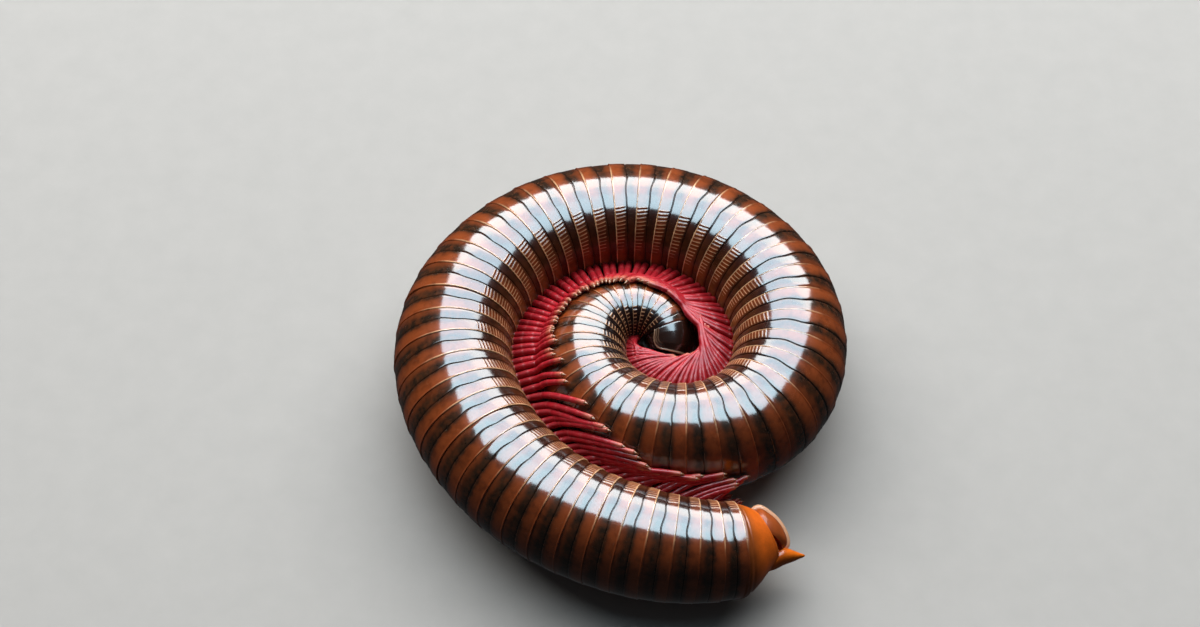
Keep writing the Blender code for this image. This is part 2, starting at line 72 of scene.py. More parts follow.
VENTRAL_FLATNESS = 0.08
LOW_TAIL_TURN = 180
FLOOR_PRESS = 0.08
TAIL_TURN = 66.0
NECK_END_TURN = 677.0
COLLUM_TURN = 703.0
BODY_LENGTHS = 10
NODE_GAP = 0.3
TURN_STEP = 0.25


def spline(xs, ys):
    """Natural cubic curve through the given stations, for single values or arrays."""
    x = np.array(xs, float)
    y = np.array(ys, float)
    n = len(x)
    h = np.diff(x)
    system = np.eye(n)
    right = np.zeros(n)
    for i in range(1, n - 1):
        system[i, i - 1] = h[i - 1]
        system[i, i] = 2 * (h[i - 1] + h[i])
        system[i, i + 1] = h[i]
        right[i] = 6 * ((y[i + 1] - y[i]) / h[i] - (y[i] - y[i - 1]) / h[i - 1])
    bend = np.linalg.solve(system, right)

    def value(at):
        i = np.clip(np.searchsorted(x, at) - 1, 0, n - 2)
        a = (x[i + 1] - at) / h[i]
        b = 1 - a
        return (a * y[i] + b * y[i + 1]
                + ((a ** 3 - a) * bend[i] + (b ** 3 - b) * bend[i + 1]) * h[i] ** 2 / 6)

    return value


def unit(vectors):
    return vectors / np.linalg.norm(vectors, axis=-1, keepdims=True)


def smooth(value, low, high):
    """0 below low, 1 above high, smooth between them."""
    t = np.clip((value - low) / (high - low), 0.0, 1.0)
    return t * t * (3 - 2 * t)


def bell(value, centre, width):
    return np.exp(-((value - centre) / width) ** 2)


class Coil:
    """The body's axis, its frame and its radius, each by the run along the axis."""

    def __init__(self):
        turns = np.arange(AXIS_TURN[0], AXIS_TURN[-1] + 0.01, TURN_STEP)
        girth = spline(GIRTH_TURN, GIRTH)(turns)
        radius = spline(AXIS_TURN, AXIS_RADIUS)(turns)
        height = np.full_like(turns, AXIS_HEIGHT)
        tail = turns < LOW_TAIL_TURN
        height[tail] = np.minimum(AXIS_HEIGHT, 0.5 * girth[tail] - FLOOR_PRESS)
        neck = turns > NECK_TURN[0]
        height[neck] -= spline(NECK_TURN, NECK_DROP)(turns[neck])
        a = np.radians(-turns)
        self.turns = turns
        self.axis = np.stack([POLE[0] + radius * np.cos(a), POLE[1] + radius * np.sin(a), height],
                             axis=1)
        steps = np.linalg.norm(np.diff(self.axis, axis=0), axis=1)
        self.runs = np.concatenate([[0.0], np.cumsum(steps)])
        self.tangents = unit(np.gradient(self.axis, self.runs, axis=0))
        self.radii = 0.5 * girth

    def run_of(self, turn):
        return float(np.interp(turn, self.turns, self.runs))

    def turn_of(self, run):
        return np.interp(run, self.runs, self.turns)

    def radius(self, run):
        return np.interp(run, self.runs, self.radii)

    def _blend(self, table, run):
        """Rows of a table of the axis's stations, at runs of any shape."""
        return np.stack([np.interp(run, self.runs, table[:, k]) for k in range(3)], axis=-1)

    def frame(self, run):
        """Centre, tangent towards the head, back and upper side at runs of any shape."""
        run = np.asarray(run, float)
        centre = self._blend(self.axis, run)
        tangent = unit(self._blend(self.tangents, run))
        back = unit(np.stack([-tangent[..., 1], tangent[..., 0], np.zeros(run.shape)], axis=-1))
        return centre, tangent, back, np.cross(tangent, back)

    def direction(self, run, angle):
        """Outward direction at an angle round the body."""
        _, _, back, side = self.frame(run)
        a = np.radians(np.asarray(angle, float))[..., None]
        return back * np.cos(a) + side * np.sin(a)

    def points(self, run, angle, scale):
        """Points on the body, which is a little flattened on the belly and on the floor."""
        run, angle, scale = np.broadcast_arrays(run, angle, scale)
        centre, _, back, side = self.frame(run)
        a = np.radians(angle)[..., None]
        belly = np.maximum(0.0, -np.cos(a))
        reach = (self.radius(run) * scale)[..., None] * (1 - VENTRAL_FLATNESS * belly ** 3)
        found = centre + (back * np.cos(a) + side * np.sin(a)) * reach
        found[..., 2] = np.maximum(found[..., 2], 0.0)
        return found


coil = Coil()


# Meshes.

SMOOTHING_PASSES = 3


class Shells:
    """Collects closed lofts, with values carried by their points, into one piece."""

    def __init__(self):
        self.points = []
        self.quads = []
        self.triangles = []
        self.values = {}
        self.count = 0

    def loft(self, rows, values=None, end=None):
        """Skin through rows of equal point counts, closed at both ends on a point."""
        rows = np.asarray(rows, float)
        count, sides = rows.shape[:2]
        end = rows[-1].mean(axis=0) if end is None else np.asarray(end, float)
        points = np.concatenate([rows.reshape(-1, 3), [rows[0].mean(axis=0)], [end]])
        i = np.arange(sides)
        j = (i + 1) % sides
        row_starts = np.arange(count - 1)[:, None] * sides
        low = row_starts + i
        turned = row_starts + j
        quads = np.stack([low, turned, turned + sides, low + sides], axis=-1).reshape(-1, 4)
        last = (count - 1) * sides
        first_fan = np.stack([j, i, np.full(sides, count * sides)], axis=-1)
        last_fan = np.stack([last + i, last + j, np.full(sides, count * sides + 1)], axis=-1)
        triangles = np.concatenate([first_fan, last_fan])
        everything = np.concatenate([quads[:, [0, 1, 2]], quads[:, [0, 2, 3]], triangles])
        a, b, c = (points[everything[:, k]] - points[0] for k in range(3))
        inside_out = np.einsum("ij,ij->i", a, np.cross(b, c)).sum() < 0
        if inside_out:
            quads = quads[:, ::-1]
            triangles = triangles[:, ::-1]
        self.points.append(points)
        self.quads.append(quads + self.count)
        self.triangles.append(triangles + self.count)
        for name, value in (values or {}).items():
            spread = np.broadcast_to(np.asarray(value, float), (count, sides))
            ends = [spread[0].mean(), spread[-1].mean()]
            self.values.setdefault(name, []).append(np.concatenate([spread.ravel(), ends]))
        self.count += len(points)

    def piece(self, name, material, replaces=()):
        """Makes the piece, which rides on the body and takes the place of solids."""
        points = np.concatenate(self.points) * MM
        quads = np.concatenate(self.quads)
        triangles = np.concatenate(self.triangles)
        mesh = bpy.data.meshes.new(name)
        mesh.vertices.add(len(points))
        mesh.vertices.foreach_set("co", points.astype(np.float32).ravel())
        corners = np.concatenate([quads.ravel(), triangles.ravel()]).astype(np.int32)
        sizes = np.concatenate([np.full(len(quads), 4), np.full(len(triangles), 3)])
        starts = np.concatenate([[0], np.cumsum(sizes)[:-1]]).astype(np.int32)
        mesh.loops.add(len(corners))
        mesh.loops.foreach_set("vertex_index", corners)
        mesh.polygons.add(len(sizes))
        mesh.polygons.foreach_set("loop_start", starts)
        mesh.update(calc_edges=True)
        mesh.validate()
        mesh.shade_smooth()
        for key, value in self.values.items():
            layer = mesh.attributes.new(key, "FLOAT", "POINT")
            layer.data.foreach_set("value", np.concatenate(value).astype(np.float32))
        mesh.materials.append(material)
        made = bpy.data.objects.new(name, mesh)
        bpy.context.scene.collection.objects.link(made)
        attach(made, BODY)
        if replaces:
            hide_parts(*replaces)


def tube_rows(path, radii, sides, wide):
    """Rows of points round a path. wide is the direction in which each row starts."""
    path = np.asarray(path, float)
    along = unit(np.gradient(path, axis=0))
    across = unit(wide - along * np.sum(along * wide, axis=-1, keepdims=True))
    high = np.cross(along, across)
    a = 2 * math.pi * np.arange(sides) / sides
    ring = across[:, None] * np.cos(a)[None, :, None] + high[:, None] * np.sin(a)[None, :, None]
    return path[:, None] + ring * np.asarray(radii, float)[:, None, None]


def along_path(path, shares):
    """Points at shares of a path's length, on a smoothed copy of it."""
    path = np.asarray(path, float)
    for _ in range(SMOOTHING_PASSES):
        inner = 0.25 * path[:-2] + 0.5 * path[1:-1] + 0.25 * path[2:]
        path = np.concatenate([path[:1], inner, path[-1:]])
    steps = np.linalg.norm(np.diff(path, axis=0), axis=1)
    runs = np.concatenate([[0.0], np.cumsum(steps)])
    return np.stack([np.interp(np.asarray(shares) * runs[-1], runs, path[:, k])
                     for k in range(3)], axis=-1)


# Finishes.

NOISE_ROUGHNESS = 0.55
MIX_FACTOR, MIX_A, MIX_B, MIX_RESULT = 0, 6, 7, 2


class Value:
    """A socket's number, on which arithmetic adds Math nodes."""

    def __init__(self, shader, socket):
        self.shader = shader
        self.socket = socket

    def _math(self, operation, a, b):
        return self.shader.node("ShaderNodeMath", {"operation": operation}, {0: a, 1: b})

    def __add__(self, other):
        return self._math("ADD", self, other)

    def __radd__(self, other):
        return self._math("ADD", other, self)

    def __sub__(self, other):
        return self._math("SUBTRACT", self, other)

    def __rsub__(self, other):
        return self._math("SUBTRACT", other, self)

    def __mul__(self, other):
        return self._math("MULTIPLY", self, other)

    def __rmul__(self, other):
        return self._math("MULTIPLY", other, self)


class Shader:
    """One material: its nodes, and the finish that they make."""

    def __init__(self, name):
        self.material = bpy.data.materials.new(name)
        self.material.use_nodes = True
        self.tree = self.material.node_tree
        self.surface = self.tree.nodes["Principled BSDF"]

    def put(self, socket, value):
        if isinstance(value, Value):
            self.tree.links.new(value.socket, socket)
        elif socket.type == "RGBA":
            socket.default_value = (*value, 1.0)
        else:
            socket.default_value = value

    def node(self, kind, settings, sockets, output=0):
        """Adds a node: its settings first, then the values or links of its sockets."""
        made = self.tree.nodes.new(kind)
        for key, value in settings.items():
            setattr(made, key, value)
        for key, value in sockets.items():
            self.put(made.inputs[key], value)
        return Value(self, made.outputs[output])

    def carried(self, name):
        """A value carried by the mesh's points."""
        return self.node("ShaderNodeAttribute", {"attribute_name": name}, {}, "Fac")

    def place(self):
        """A point's place on the part, in metres."""
        return self.node("ShaderNodeTexCoord", {}, {}, "Object")

    def distance(self, point):
        """Metres from a point."""
        return self.node("ShaderNodeVectorMath", {"operation": "DISTANCE"},
                         {0: self.place(), 1: point}, "Value")

    def step(self, value, low, high):
        """0 below low, 1 above high, smooth between them."""
        return self.node("ShaderNodeMapRange", {"interpolation_type": "SMOOTHSTEP"},
                         {"Value": value, "From Min": low, "From Max": high})

    def band(self, value, low, high, soft):
        """1 between low and high, with soft edges."""
        above = self.step(value, low - soft, low + soft)
        return above * (1 - self.step(value, high - soft, high + soft))

    def mix(self, factor, a, b):
        """Colour a where the factor is 0, b where it is 1."""
        return self.node("ShaderNodeMix", {"data_type": "RGBA"},
                         {MIX_FACTOR: factor, MIX_A: a, MIX_B: b}, MIX_RESULT)

    def scale(self, colour, value):
        """A colour times a number."""
        vector = self.node("ShaderNodeCombineXYZ", {}, {"X": value, "Y": value, "Z": value})
        return self.node("ShaderNodeVectorMath", {"operation": "MULTIPLY"},
                         {0: colour, 1: vector})

    def noise(self, size, detail=3.0):
        """Cloudy noise whose features are about size millimetres."""
        return self.node("ShaderNodeTexNoise", {},
                         {"Vector": self.place(), "Scale": 1 / (size * MM), "Detail": detail,
                          "Roughness": NOISE_ROUGHNESS})

    def cells(self, size):
        """Distance to the nearest of scattered points about size millimetres apart."""
        return self.node("ShaderNodeTexVoronoi", {}, {"Scale": 1 / (size * MM)})

    def bump(self, height, depth):
        """Relief of a height map, depth millimetres high."""
        return self.node("ShaderNodeBump", {},
                         {"Strength": 1.0, "Distance": depth * MM, "Height": height})

    def finish(self, **sockets):
        """Sets the surface's sockets, and gives the material."""
        names = {"colour": "Base Color", "roughness": "Roughness", "normal": "Normal",
                 "coat": "Coat Weight", "coat_roughness": "Coat Roughness",
                 "coat_ior": "Coat IOR", "ior": "IOR"}
        for key, value in sockets.items():
            self.put(self.surface.inputs[names[key]], value)
        return self.material


# Middle of the coil's hollow heart, and the distances over which the painted shade round it fades.
COIL_HEART = (POLE[0] * MM, POLE[1] * MM, 8.5 * MM)
COIL_HEART_SHADE_REACH = (3.4 * MM, 5.0 * MM)
SHELL_GLOSS = {"coat_ior": 1.6, "ior": 1.12}
LEG_GLOSS = {"coat": 0.32, "coat_roughness": 0.20, "coat_ior": 1.5, "ior": 1.12}
TAIL_GLOSS = {"coat": 0.45, "coat_roughness": 0.20, "coat_ior": 1.5, "ior": 1.15}
VALVE_GLOSS = {"coat": 0.3, "coat_roughness": 0.2, "coat_ior": 1.5, "ior": 1.15}


def ring_finish(colours):
    """Glossy ring cuticle: rust rear half, near-black front half, pale rear edge and ridges,
    painted shade at the coil's heart.
    """
    s = Shader("ring cuticle")
    side = s.carried("side")
    mottle = s.noise(1.6, 4.0)
    patch = s.noise(0.7)
    fine = s.noise(0.16)
    flank = s.step(side, 0.50, 0.62)
    # On the back the two halves run into each other in blots, and on the flank they are neat.
    band = s.carried("band") + (s.noise(1.1) - 0.5) * 0.45 * (1 - flank)
    # The rear half is rust on the back, darker on the flank and towards the groove.
    rust = s.mix(flank, colours.back, colours.flank)
    rust = s.mix(s.step(side, 0.74, 0.90), rust, colours.foot)
    rust = s.mix(s.step(patch + mottle, 0.85, 1.35) * 0.5, rust, colours.fore)
    rust = s.mix(s.step(band, 0.30, 0.95) * 0.6, rust, colours.fore)
    # The front half is near-black, and rust again where the next ring ahead covers it.
    saddle = s.mix(s.step(patch, 0.35, 0.85), colours.saddle, colours.fore)
    dark = s.mix(flank, s.mix(s.step(band, 1.40, 1.85), saddle, rust), colours.dark)
    dark = s.mix(s.step(side, 0.62, 0.85), dark, colours.dark_foot)
    colour = s.mix(s.step(band, 0.68, 0.98), rust, dark)
    # Painted shade: the flanks are darkened to near-black towards the hollow heart of the coil.
    neck = 1 - s.step(s.distance(COIL_HEART), *COIL_HEART_SHADE_REACH)
    colour = s.mix(neck * flank * 0.85, colour, colours.groove)
    # Fine lines: the rear edge, the ridges and the groove between the halves.
    edge = s.band(s.carried("band"), -0.05, 0.09, 0.04)
    # The pale rear edge is partly its own colour and partly a painted highlight, where it fades in
    # above the highlight band towards the back.
    colour = s.mix(edge * s.step(side, 0.28, 0.42) * 0.9, colour, colours.edge)
    colour = s.mix(s.step(s.carried("ridge"), 0.35, 0.90) * 0.8, colour, colours.ridge)
    line = s.band(s.carried("band"), 0.985, 1.03, 0.02)
    colour = s.mix(line * 0.9, colour, colours.groove)
    # Uneven tone, specks of dust, and less gloss on the flank above the legs.
    blotch = s.step(mottle * 0.5 + patch * 0.5, 0.36, 0.64)
    colour = s.scale(colour, 0.45 + 0.75 * blotch + 0.25 * fine + 0.20 * s.carried("tone"))
    specks = (1 - s.step(s.cells(1.3), 0.06, 0.10)) * s.step(s.noise(2.4, 1.0), 0.50, 0.56)
    colour = s.mix(specks * 0.8, colour, colours.dust)
    relief = 0.6 * fine + 0.6 * s.noise(0.5, 2.0)
    return s.finish(colour=colour, roughness=0.26 + 0.16 * fine + 0.35 * specks,
                    normal=s.bump(relief, 0.008), coat=1.0 - 0.75 * s.step(side, 0.60, 0.76),
                    coat_roughness=0.13, **SHELL_GLOSS)


def leg_finish(colours):
    """Glossy crimson leg, paler at its joints and towards the claw, with painted shade at its root.
    """
    s = Shader("leg cuticle")
    along = s.carried("along")
    # Painted shade: the leg is darker towards its root, where it runs under the ring.
    colour = s.mix(s.step(along, 0.0, 0.5), colours.leg_root_shade, colours.leg)
    colour = s.mix(s.step(along, 0.84, 1.0) * 0.5, colour, colours.leg_tip)
    # Paler joints: partly the soft skin there, partly a painted glint in place of the specks of
    # light at the joints.
    colour = s.mix(s.carried("joint") * 0.10, colour, colours.joint)
    fine = s.noise(0.12)
    colour = s.scale(colour, 0.40 + 0.9 * s.noise(0.9, 2.0) + 0.3 * fine)
    return s.finish(colour=colour, roughness=0.30 + 0.2 * fine, normal=s.bump(fine, 0.008),
                    **LEG_GLOSS)


def shield_finish(colours):
    """Glossy near-black cuticle of the collum and head, with a pale rim."""
    s = Shader("head shield")
    fine = s.noise(0.15)
    colour = s.scale(colours.shield, 0.6 + 0.8 * s.noise(0.8))
    colour = s.mix(s.carried("rim"), colour, colours.rim)
    return s.finish(colour=colour, roughness=0.22 + 0.14 * fine, normal=s.bump(fine, 0.010),
                    coat=0.9, coat_roughness=0.16, **SHELL_GLOSS)


def tail_finish(colours):
    """Satin orange cuticle, browner towards the trunk and brighter on the spine."""
    s = Shader("tail cuticle")
    fine = s.noise(0.15)
    colour = s.mix(s.carried("fore"), colours.tail, colours.tail_fore)
    colour = s.mix(s.carried("spine"), colour, colours.spine)
    colour = s.scale(colour, 0.6 + 0.6 * s.noise(1.2) + 0.2 * fine)
    return s.finish(colour=colour, roughness=0.26 + 0.18 * fine, normal=s.bump(fine, 0.008),
                    **TAIL_GLOSS)


def valve_finish(colours):
    """Red-brown anal valve with a thick pale lip; the red-brown is painted shade, darker than the
    orange last ring.
    """
    s = Shader("anal valve")
    fine = s.noise(0.15)
    colour = s.mix(s.carried("rim"), colours.valve, colours.lip)
    colour = s.scale(colour, 0.7 + 0.5 * s.noise(0.7) + 0.1 * fine)
    return s.finish(colour=colour, roughness=0.3 + 0.15 * fine, normal=s.bump(fine, 0.006),
                    **VALVE_GLOSS)


def plain_finish(name, colour, roughness, grain):
    """Small parts of one colour: feelers, eyelets, claws."""
    s = Shader(name)
    fine = s.noise(grain)
    return s.finish(colour=s.scale(colour, 0.7 + 0.6 * fine), roughness=roughness + 0.1 * fine,
                    normal=s.bump(fine, 0.004), ior=1.5)


# Sizes and colours.

def colour_of(name, description, default):
    return FloatVectorProperty(name=name, description=description, subtype="COLOR", size=3,
                               min=0.0, max=1.0, default=default)


def length_of(name, description, millimetres):
    return FloatProperty(name=name, description=description, subtype="DISTANCE", unit="LENGTH",
                         min=0.0, precision=5, default=millimetres * MM)


def share_of(name, description, default, most, least=0.0):
    return FloatProperty(name=name, description=description, subtype="FACTOR", min=least,
                         max=most, default=default)


class MillipedeColours(bpy.types.PropertyGroup):
    """Colours of the animal's cuticle."""
    back: colour_of("Back", "Rear half of a ring on the back", (0.29, 0.063, 0.015))
    flank: colour_of("Flank", "Rear half of a ring on the flank", (0.17, 0.036, 0.010))
    foot: colour_of("Foot", "Rear half of a ring above the legs", (0.20, 0.070, 0.018))
    fore: colour_of("Fore", "Where the rear half meets the groove", (0.090, 0.022, 0.006))
    saddle: colour_of("Saddle", "Front half of a ring on the back", (0.034, 0.016, 0.007))
    dark: colour_of("Dark", "Front half of a ring on the flank", (0.034, 0.008, 0.004))
    dark_foot: colour_of("Dark foot", "Front half of a ring above the legs",
                         (0.070, 0.022, 0.007))
    # Also painted over the flanks near the coil's heart as shade.
    groove: colour_of("Groove", "Groove between a ring's halves", (0.006, 0.003, 0.003))
    # Partly a painted highlight on the back, where the rear edge reaches above the highlight band.
    edge: colour_of("Rear edge", "Thin raised rear edge of a ring", (0.66, 0.40, 0.22))
    ridge: colour_of("Ridges", "Fine ridges on the flank", (0.66, 0.38, 0.21))
    dust: colour_of("Dust", "Specks of dust on the rings", (0.75, 0.62, 0.45))
    leg: colour_of("Leg", "Middle of a leg", (0.45, 0.017, 0.029))
    # Painted shade: the darker colour of a leg's root, where it lies under the ring.
    leg_root_shade: colour_of("Leg root", "Root of a leg", (0.30, 0.009, 0.014))
    leg_tip: colour_of("Leg tip", "Last joint of a leg", (0.68, 0.28, 0.17))
    # Partly the joints' soft skin, partly a painted glint in place of the specks of light there.
    joint: colour_of("Leg joints", "Soft skin at a leg's joints", (0.75, 0.30, 0.28))
    claw: colour_of("Claw", "Claw at the end of a leg", (0.36, 0.16, 0.07))
    shield: colour_of("Shield", "Collum and head", (0.024, 0.008, 0.004))
    rim: colour_of("Shield rim", "Thin rim of the collum", (0.72, 0.48, 0.32))
    feeler: colour_of("Feeler", "Antennae", (0.34, 0.040, 0.030))
    eyelet: colour_of("Eyelets", "Clustered eyes", (0.012, 0.012, 0.014))
    tail: colour_of("Tail", "Last ring", (0.74, 0.145, 0.012))
    tail_fore: colour_of("Tail front", "Last ring where it meets the trunk", (0.26, 0.065, 0.012))
    spine: colour_of("Spine", "Spine of the last ring", (0.84, 0.180, 0.008))
    # Painted shade: the valves are a darker red-brown than the last ring, as they look in shade
    # inside their lips.
    valve: colour_of("Valve", "Anal valves", (0.34, 0.075, 0.016))
    lip: colour_of("Valve lip", "Thick lips of the anal valves", (0.74, 0.42, 0.26))
    floor: colour_of("Floor", "Floor that the animal lies on", (0.43, 0.425, 0.415))


class MillipedeRings(bpy.types.PropertyGroup):
    """Sizes of the rings of the trunk."""
    count: IntProperty(name="Rings", description="Rings between the last ring and the collum",
                       default=59, min=10, max=90)
    step: share_of("Step", "Depth of a front half under the rear half ahead of it, as a share of "
                   "the radius", 0.009, 0.1)
    groove: share_of("Groove", "Depth of the groove between a ring's halves, as a share of the "
                     "radius", 0.014, 0.1)
    ridge: share_of("Ridge height", "Height of the flank's fine ridges, as a share of the radius",
                    0.0060, 0.03)
    ridges: IntProperty(name="Ridges", description="Fine ridges on each flank of a ring",
                        default=15, min=0, max=30)
    ridge_pitch: FloatProperty(name="Ridge spacing", description="Degrees round the body from "
                               "one ridge to the next where the body is full", default=3.5,
                               min=1.0, max=10.0)
    unevenness: share_of("Unevenness", "Random change of a ring's girth, as a share", 0.004, 0.02)


class MillipedeLegs(bpy.types.PropertyGroup):
    """Sizes of the legs."""
    thickness: share_of("Thickness", "Half thickness of a leg, as a share of the body's radius",
                        0.061, 0.1, 0.01)
    length: share_of("Length", "Length of a leg, as a share of the body's girth", 0.48, 1.0, 0.1)
    taper: share_of("Taper", "Share of the thickness lost towards the tip", 0.30, 0.9)
    root_angle: FloatProperty(name="Root angle", description="Degrees from the middle of the "
                              "belly to a leg's root", default=6.0, min=2.0, max=40.0)
    claw: length_of("Claw", "Length of a claw", 0.42)


class MillipedeStage(bpy.types.PropertyGroup):
    """Camera, light and floor."""
    elevation: FloatProperty(name="Elevation", description="Camera's height above the horizon, "
                             "in degrees", default=54.0, min=10.0, max=90.0)
    lens: FloatProperty(name="Lens", description="Focal length in millimetres on a 36 mm "
                        "sensor", default=78.0, min=20.0, max=200.0)
    gloss: FloatProperty(name="Gloss", description="Brightness of the softboxes in the "
                         "reflections", default=16.0, min=0.0, max=100.0)
    fill: FloatProperty(name="Fill", description="Power of the soft light on the colours, in "
                        "watts", default=9.0, min=0.0, max=50.0)
    ambient: FloatProperty(name="Ambient", description="Strength of the even light from all "
                           "sides", default=0.035, min=0.0, max=5.0)


# The trunk.

RING_SEED = 58
# Where the groove lies in a ring's length, by the angle away from the back.
MIDDLE_ANGLE = (0, 60, 110, 150, 180)
MIDDLE_SHARE = (0.50, 0.52, 0.56, 0.64, 0.70)
# Rows of a ring: share of its length, scale of the girth and band, which is 0 to 1 on the rear
# half and 1 to 2 on the front half.
REAR_EDGE = ((0.0, 0.995, 0.0), (0.010, 1.001, 0.02), (0.028, 1.0045, 0.05),
             (0.048, 1.001, 0.08), (0.066, 0.9975, 0.11), (0.090, 0.9975, 0.15))
REAR_BANDS = (0.26, 0.38, 0.50, 0.62, 0.74, 0.85, 0.92)
FRONT_DIPS = ((0.025, 0.6), (0.06, 0.08), (0.14, 0.0), (0.45, 0.0), (0.75, 0.0), (0.97, 0.0))
TUCKED_ROWS = ((0.02, 0.975), (0.09, 0.950))
RIDGE_START = 111.0
RIDGE_END = 166.0
RIDGE_SWING = 2.5
RIDGE_SWING_MIDDLE = 126
RIDGE_SWING_SPREAD = 22
BACK_STEP = 2.6
FLANK_STEP = 0.72
PITCH_PASSES = 40
PITCH_TURN = (545, 600)
PITCH_SHARE = (1.0, 0.82)


def ring_edges(count):
    """Runs of the edges between the trunk's rings. A ring's length follows the girth."""
    start = coil.run_of(TAIL_TURN)
    end = coil.run_of(NECK_END_TURN)
    step = (end - start) / count
    for _ in range(PITCH_PASSES):
        edges = [start]
        for _ in range(count):
            closer = np.interp(coil.turn_of(edges[-1]), PITCH_TURN, PITCH_SHARE)
            edges.append(edges[-1] + step * closer * 2 * coil.radius(edges[-1]) / FULL_GIRTH)
        step *= (end - start) / (edges[-1] - start)
    return [float(edge) for edge in edges]


def body_lengths(count):
    """Number, first ring and end ring of each body length, from the tail."""
    cuts = [round(count * k / BODY_LENGTHS) for k in range(BODY_LENGTHS + 1)]
    return [(BODY_LENGTHS - k, cuts[k], cuts[k + 1]) for k in range(BODY_LENGTHS)]


def ring_angles():
    """Angles round a ring, close together where its flanks carry ridges."""
    back = np.arange(-RIDGE_START + BACK_STEP, RIDGE_START, BACK_STEP)
    flank = np.arange(RIDGE_START, RIDGE_END, FLANK_STEP)
    belly = np.arange(RIDGE_END, 360 - RIDGE_END, BACK_STEP)
    return np.concatenate([back, flank, belly, 360 - flank[::-1]])


def ring_profile(angle, rings):
    """Rows of one ring from its rear edge to its front, and the angle away from the back."""
    away = np.abs(angle)
    away = np.where(away > 180, 360 - away, away)
    # The groove waves a little at the top of the flank, as the real one does.
    middle = np.interp(away, MIDDLE_ANGLE, MIDDLE_SHARE)
    middle = middle + 0.045 * bell(away, 77, 8) - 0.035 * bell(away, 94, 8)
    low = 1 - rings.step
    rows = [(0.020, low - 0.003, 2.0), (0.003, low - 0.002, 0.0), *REAR_EDGE]
    for band in REAR_BANDS:
        rows.append((band * middle, 0.998 - 0.003 * band ** 4, band))
    rows.append((0.970 * middle, 0.994, 0.97))
    rows.append((0.990 * middle, low - 0.4 * rings.groove, 0.99))
    rows.append((middle, low - rings.groove, 1.0))
    for share, dip in FRONT_DIPS:
        rows.append((middle + share * (1 - middle), low - dip * rings.groove, 1 + share))
    return rows, away


def ridge_height(away, band, rings, girth):
    """0 to 1 on the fine ridges that run along the rear half of each flank."""
    position = (away - RIDGE_START) / rings.ridge_pitch * girth / FULL_GIRTH
    inside = (position > 0) & (position < rings.ridges) & (away < RIDGE_END)
    crest = bell(position - np.floor(position), 0.5, 0.17)
    fade = 1 - 0.6 * smooth(position, 0.7 * rings.ridges, rings.ridges)
    reach = 0.93 - 0.30 * smooth(position, 5.0, rings.ridges)
    along = smooth(band, 0.03, 0.09) * (1 - smooth(band, reach - 0.10, reach))
    return np.where(inside, crest * fade * along, 0.0)


def build_length(number, first, last, edges, rings, tones, material):
    """Skin of the rings from first to last, whose front end slides under what is ahead."""
    angle = ring_angles()
    profile, away = ring_profile(angle, rings)
    points = []
    values = {"band": [], "side": [], "tone": [], "ridge": []}

    def add(run, scale, band, tone):
        run = run + 0 * away
        ridge = ridge_height(away, band, rings, 2 * coil.radius(run))
        swing = RIDGE_SWING * min(band, 1.0) ** 2 * bell(away, RIDGE_SWING_MIDDLE,
                                                         RIDGE_SWING_SPREAD)
        turned = angle - np.sign(180 - np.mod(angle, 360)) * swing
        points.append(coil.points(run, turned, scale + rings.ridge * ridge))
        values["band"].append(np.full(len(angle), band))
        values["side"].append(away / 180)
        values["tone"].append(np.full(len(angle), tone))
        values["ridge"].append(ridge)

    for index in range(first, last):
        pitch = edges[index + 1] - edges[index]
        tone, swell = tones[index]
        for share, scale, band in profile:
            add(edges[index] + share * pitch, scale * (1 + rings.unevenness * swell), band, tone)
    for share, scale in TUCKED_ROWS:
        add(edges[last] + share * pitch, scale, 2.0, tone)
    shells = Shells()
    shells.loft(points, {key: np.array(value) for key, value in values.items()})
    shells.piece(f"rings_{number:02d}", material, [f"body_length_{number:02d}"])


class BuildRings(bpy.types.Operator):
    """Build the ringed skin of the ten body lengths"""
    bl_idname = "millipede.rings"
    bl_label = "Rings"

    def execute(self, context):
        rings = context.scene.millipede_rings
        random.seed(RING_SEED)
        edges = ring_edges(rings.count)
        tones = [(random.random(), random.uniform(-1, 1)) for _ in range(rings.count)]
        material = ring_finish(context.scene.millipede_colours)
        for number, first, last in body_lengths(rings.count):
            build_length(number, first, last, edges, rings, tones, material)
        return {"FINISHED"}


# The legs.

LEG_SEED = 160
LEG_PLACES = (0.28, 0.70)
# Leg length as a share of its usual one, by the turn of the coil.
REACH_TURN = (66, 90, 140, 170, 210, 270, 300, 335, 400, 440, 480)
REACH = (1.0, 1.45, 1.7, 1.3, 1.1, 1.12, 1.2, 1.35, 1.4, 1.15, 1.0)
LENGTH_CHANGE = (0.96, 1.04)
LEG_STEP = 0.2
LEG_SINK = 0.4
LEG_ROOT_SCALE = 0.965
LEG_SIDES = 10
LEG_REST = 0.03
LEG_RISE = 0.5
LEG_FALL = 0.7
LEG_SWAY = 2.0
ROOT_CHANGE = 0.8
STALLED_STEP = 0.35 * LEG_STEP
# Towards the tail the legs lie loose: they sway more, and differ more in length.
LOOSE_TURNS = (135, 185)
LOOSE_LIFT = 0.25
LOOSE_SWAY = 7.0
LOOSE_SHORTENING = 0.22
LEGLESS_TAIL_RINGS = 1
LEGLESS_NECK_RINGS = 1
SINGLE_PAIR_RINGS = 3
SHORTEST_LEG = 1.0
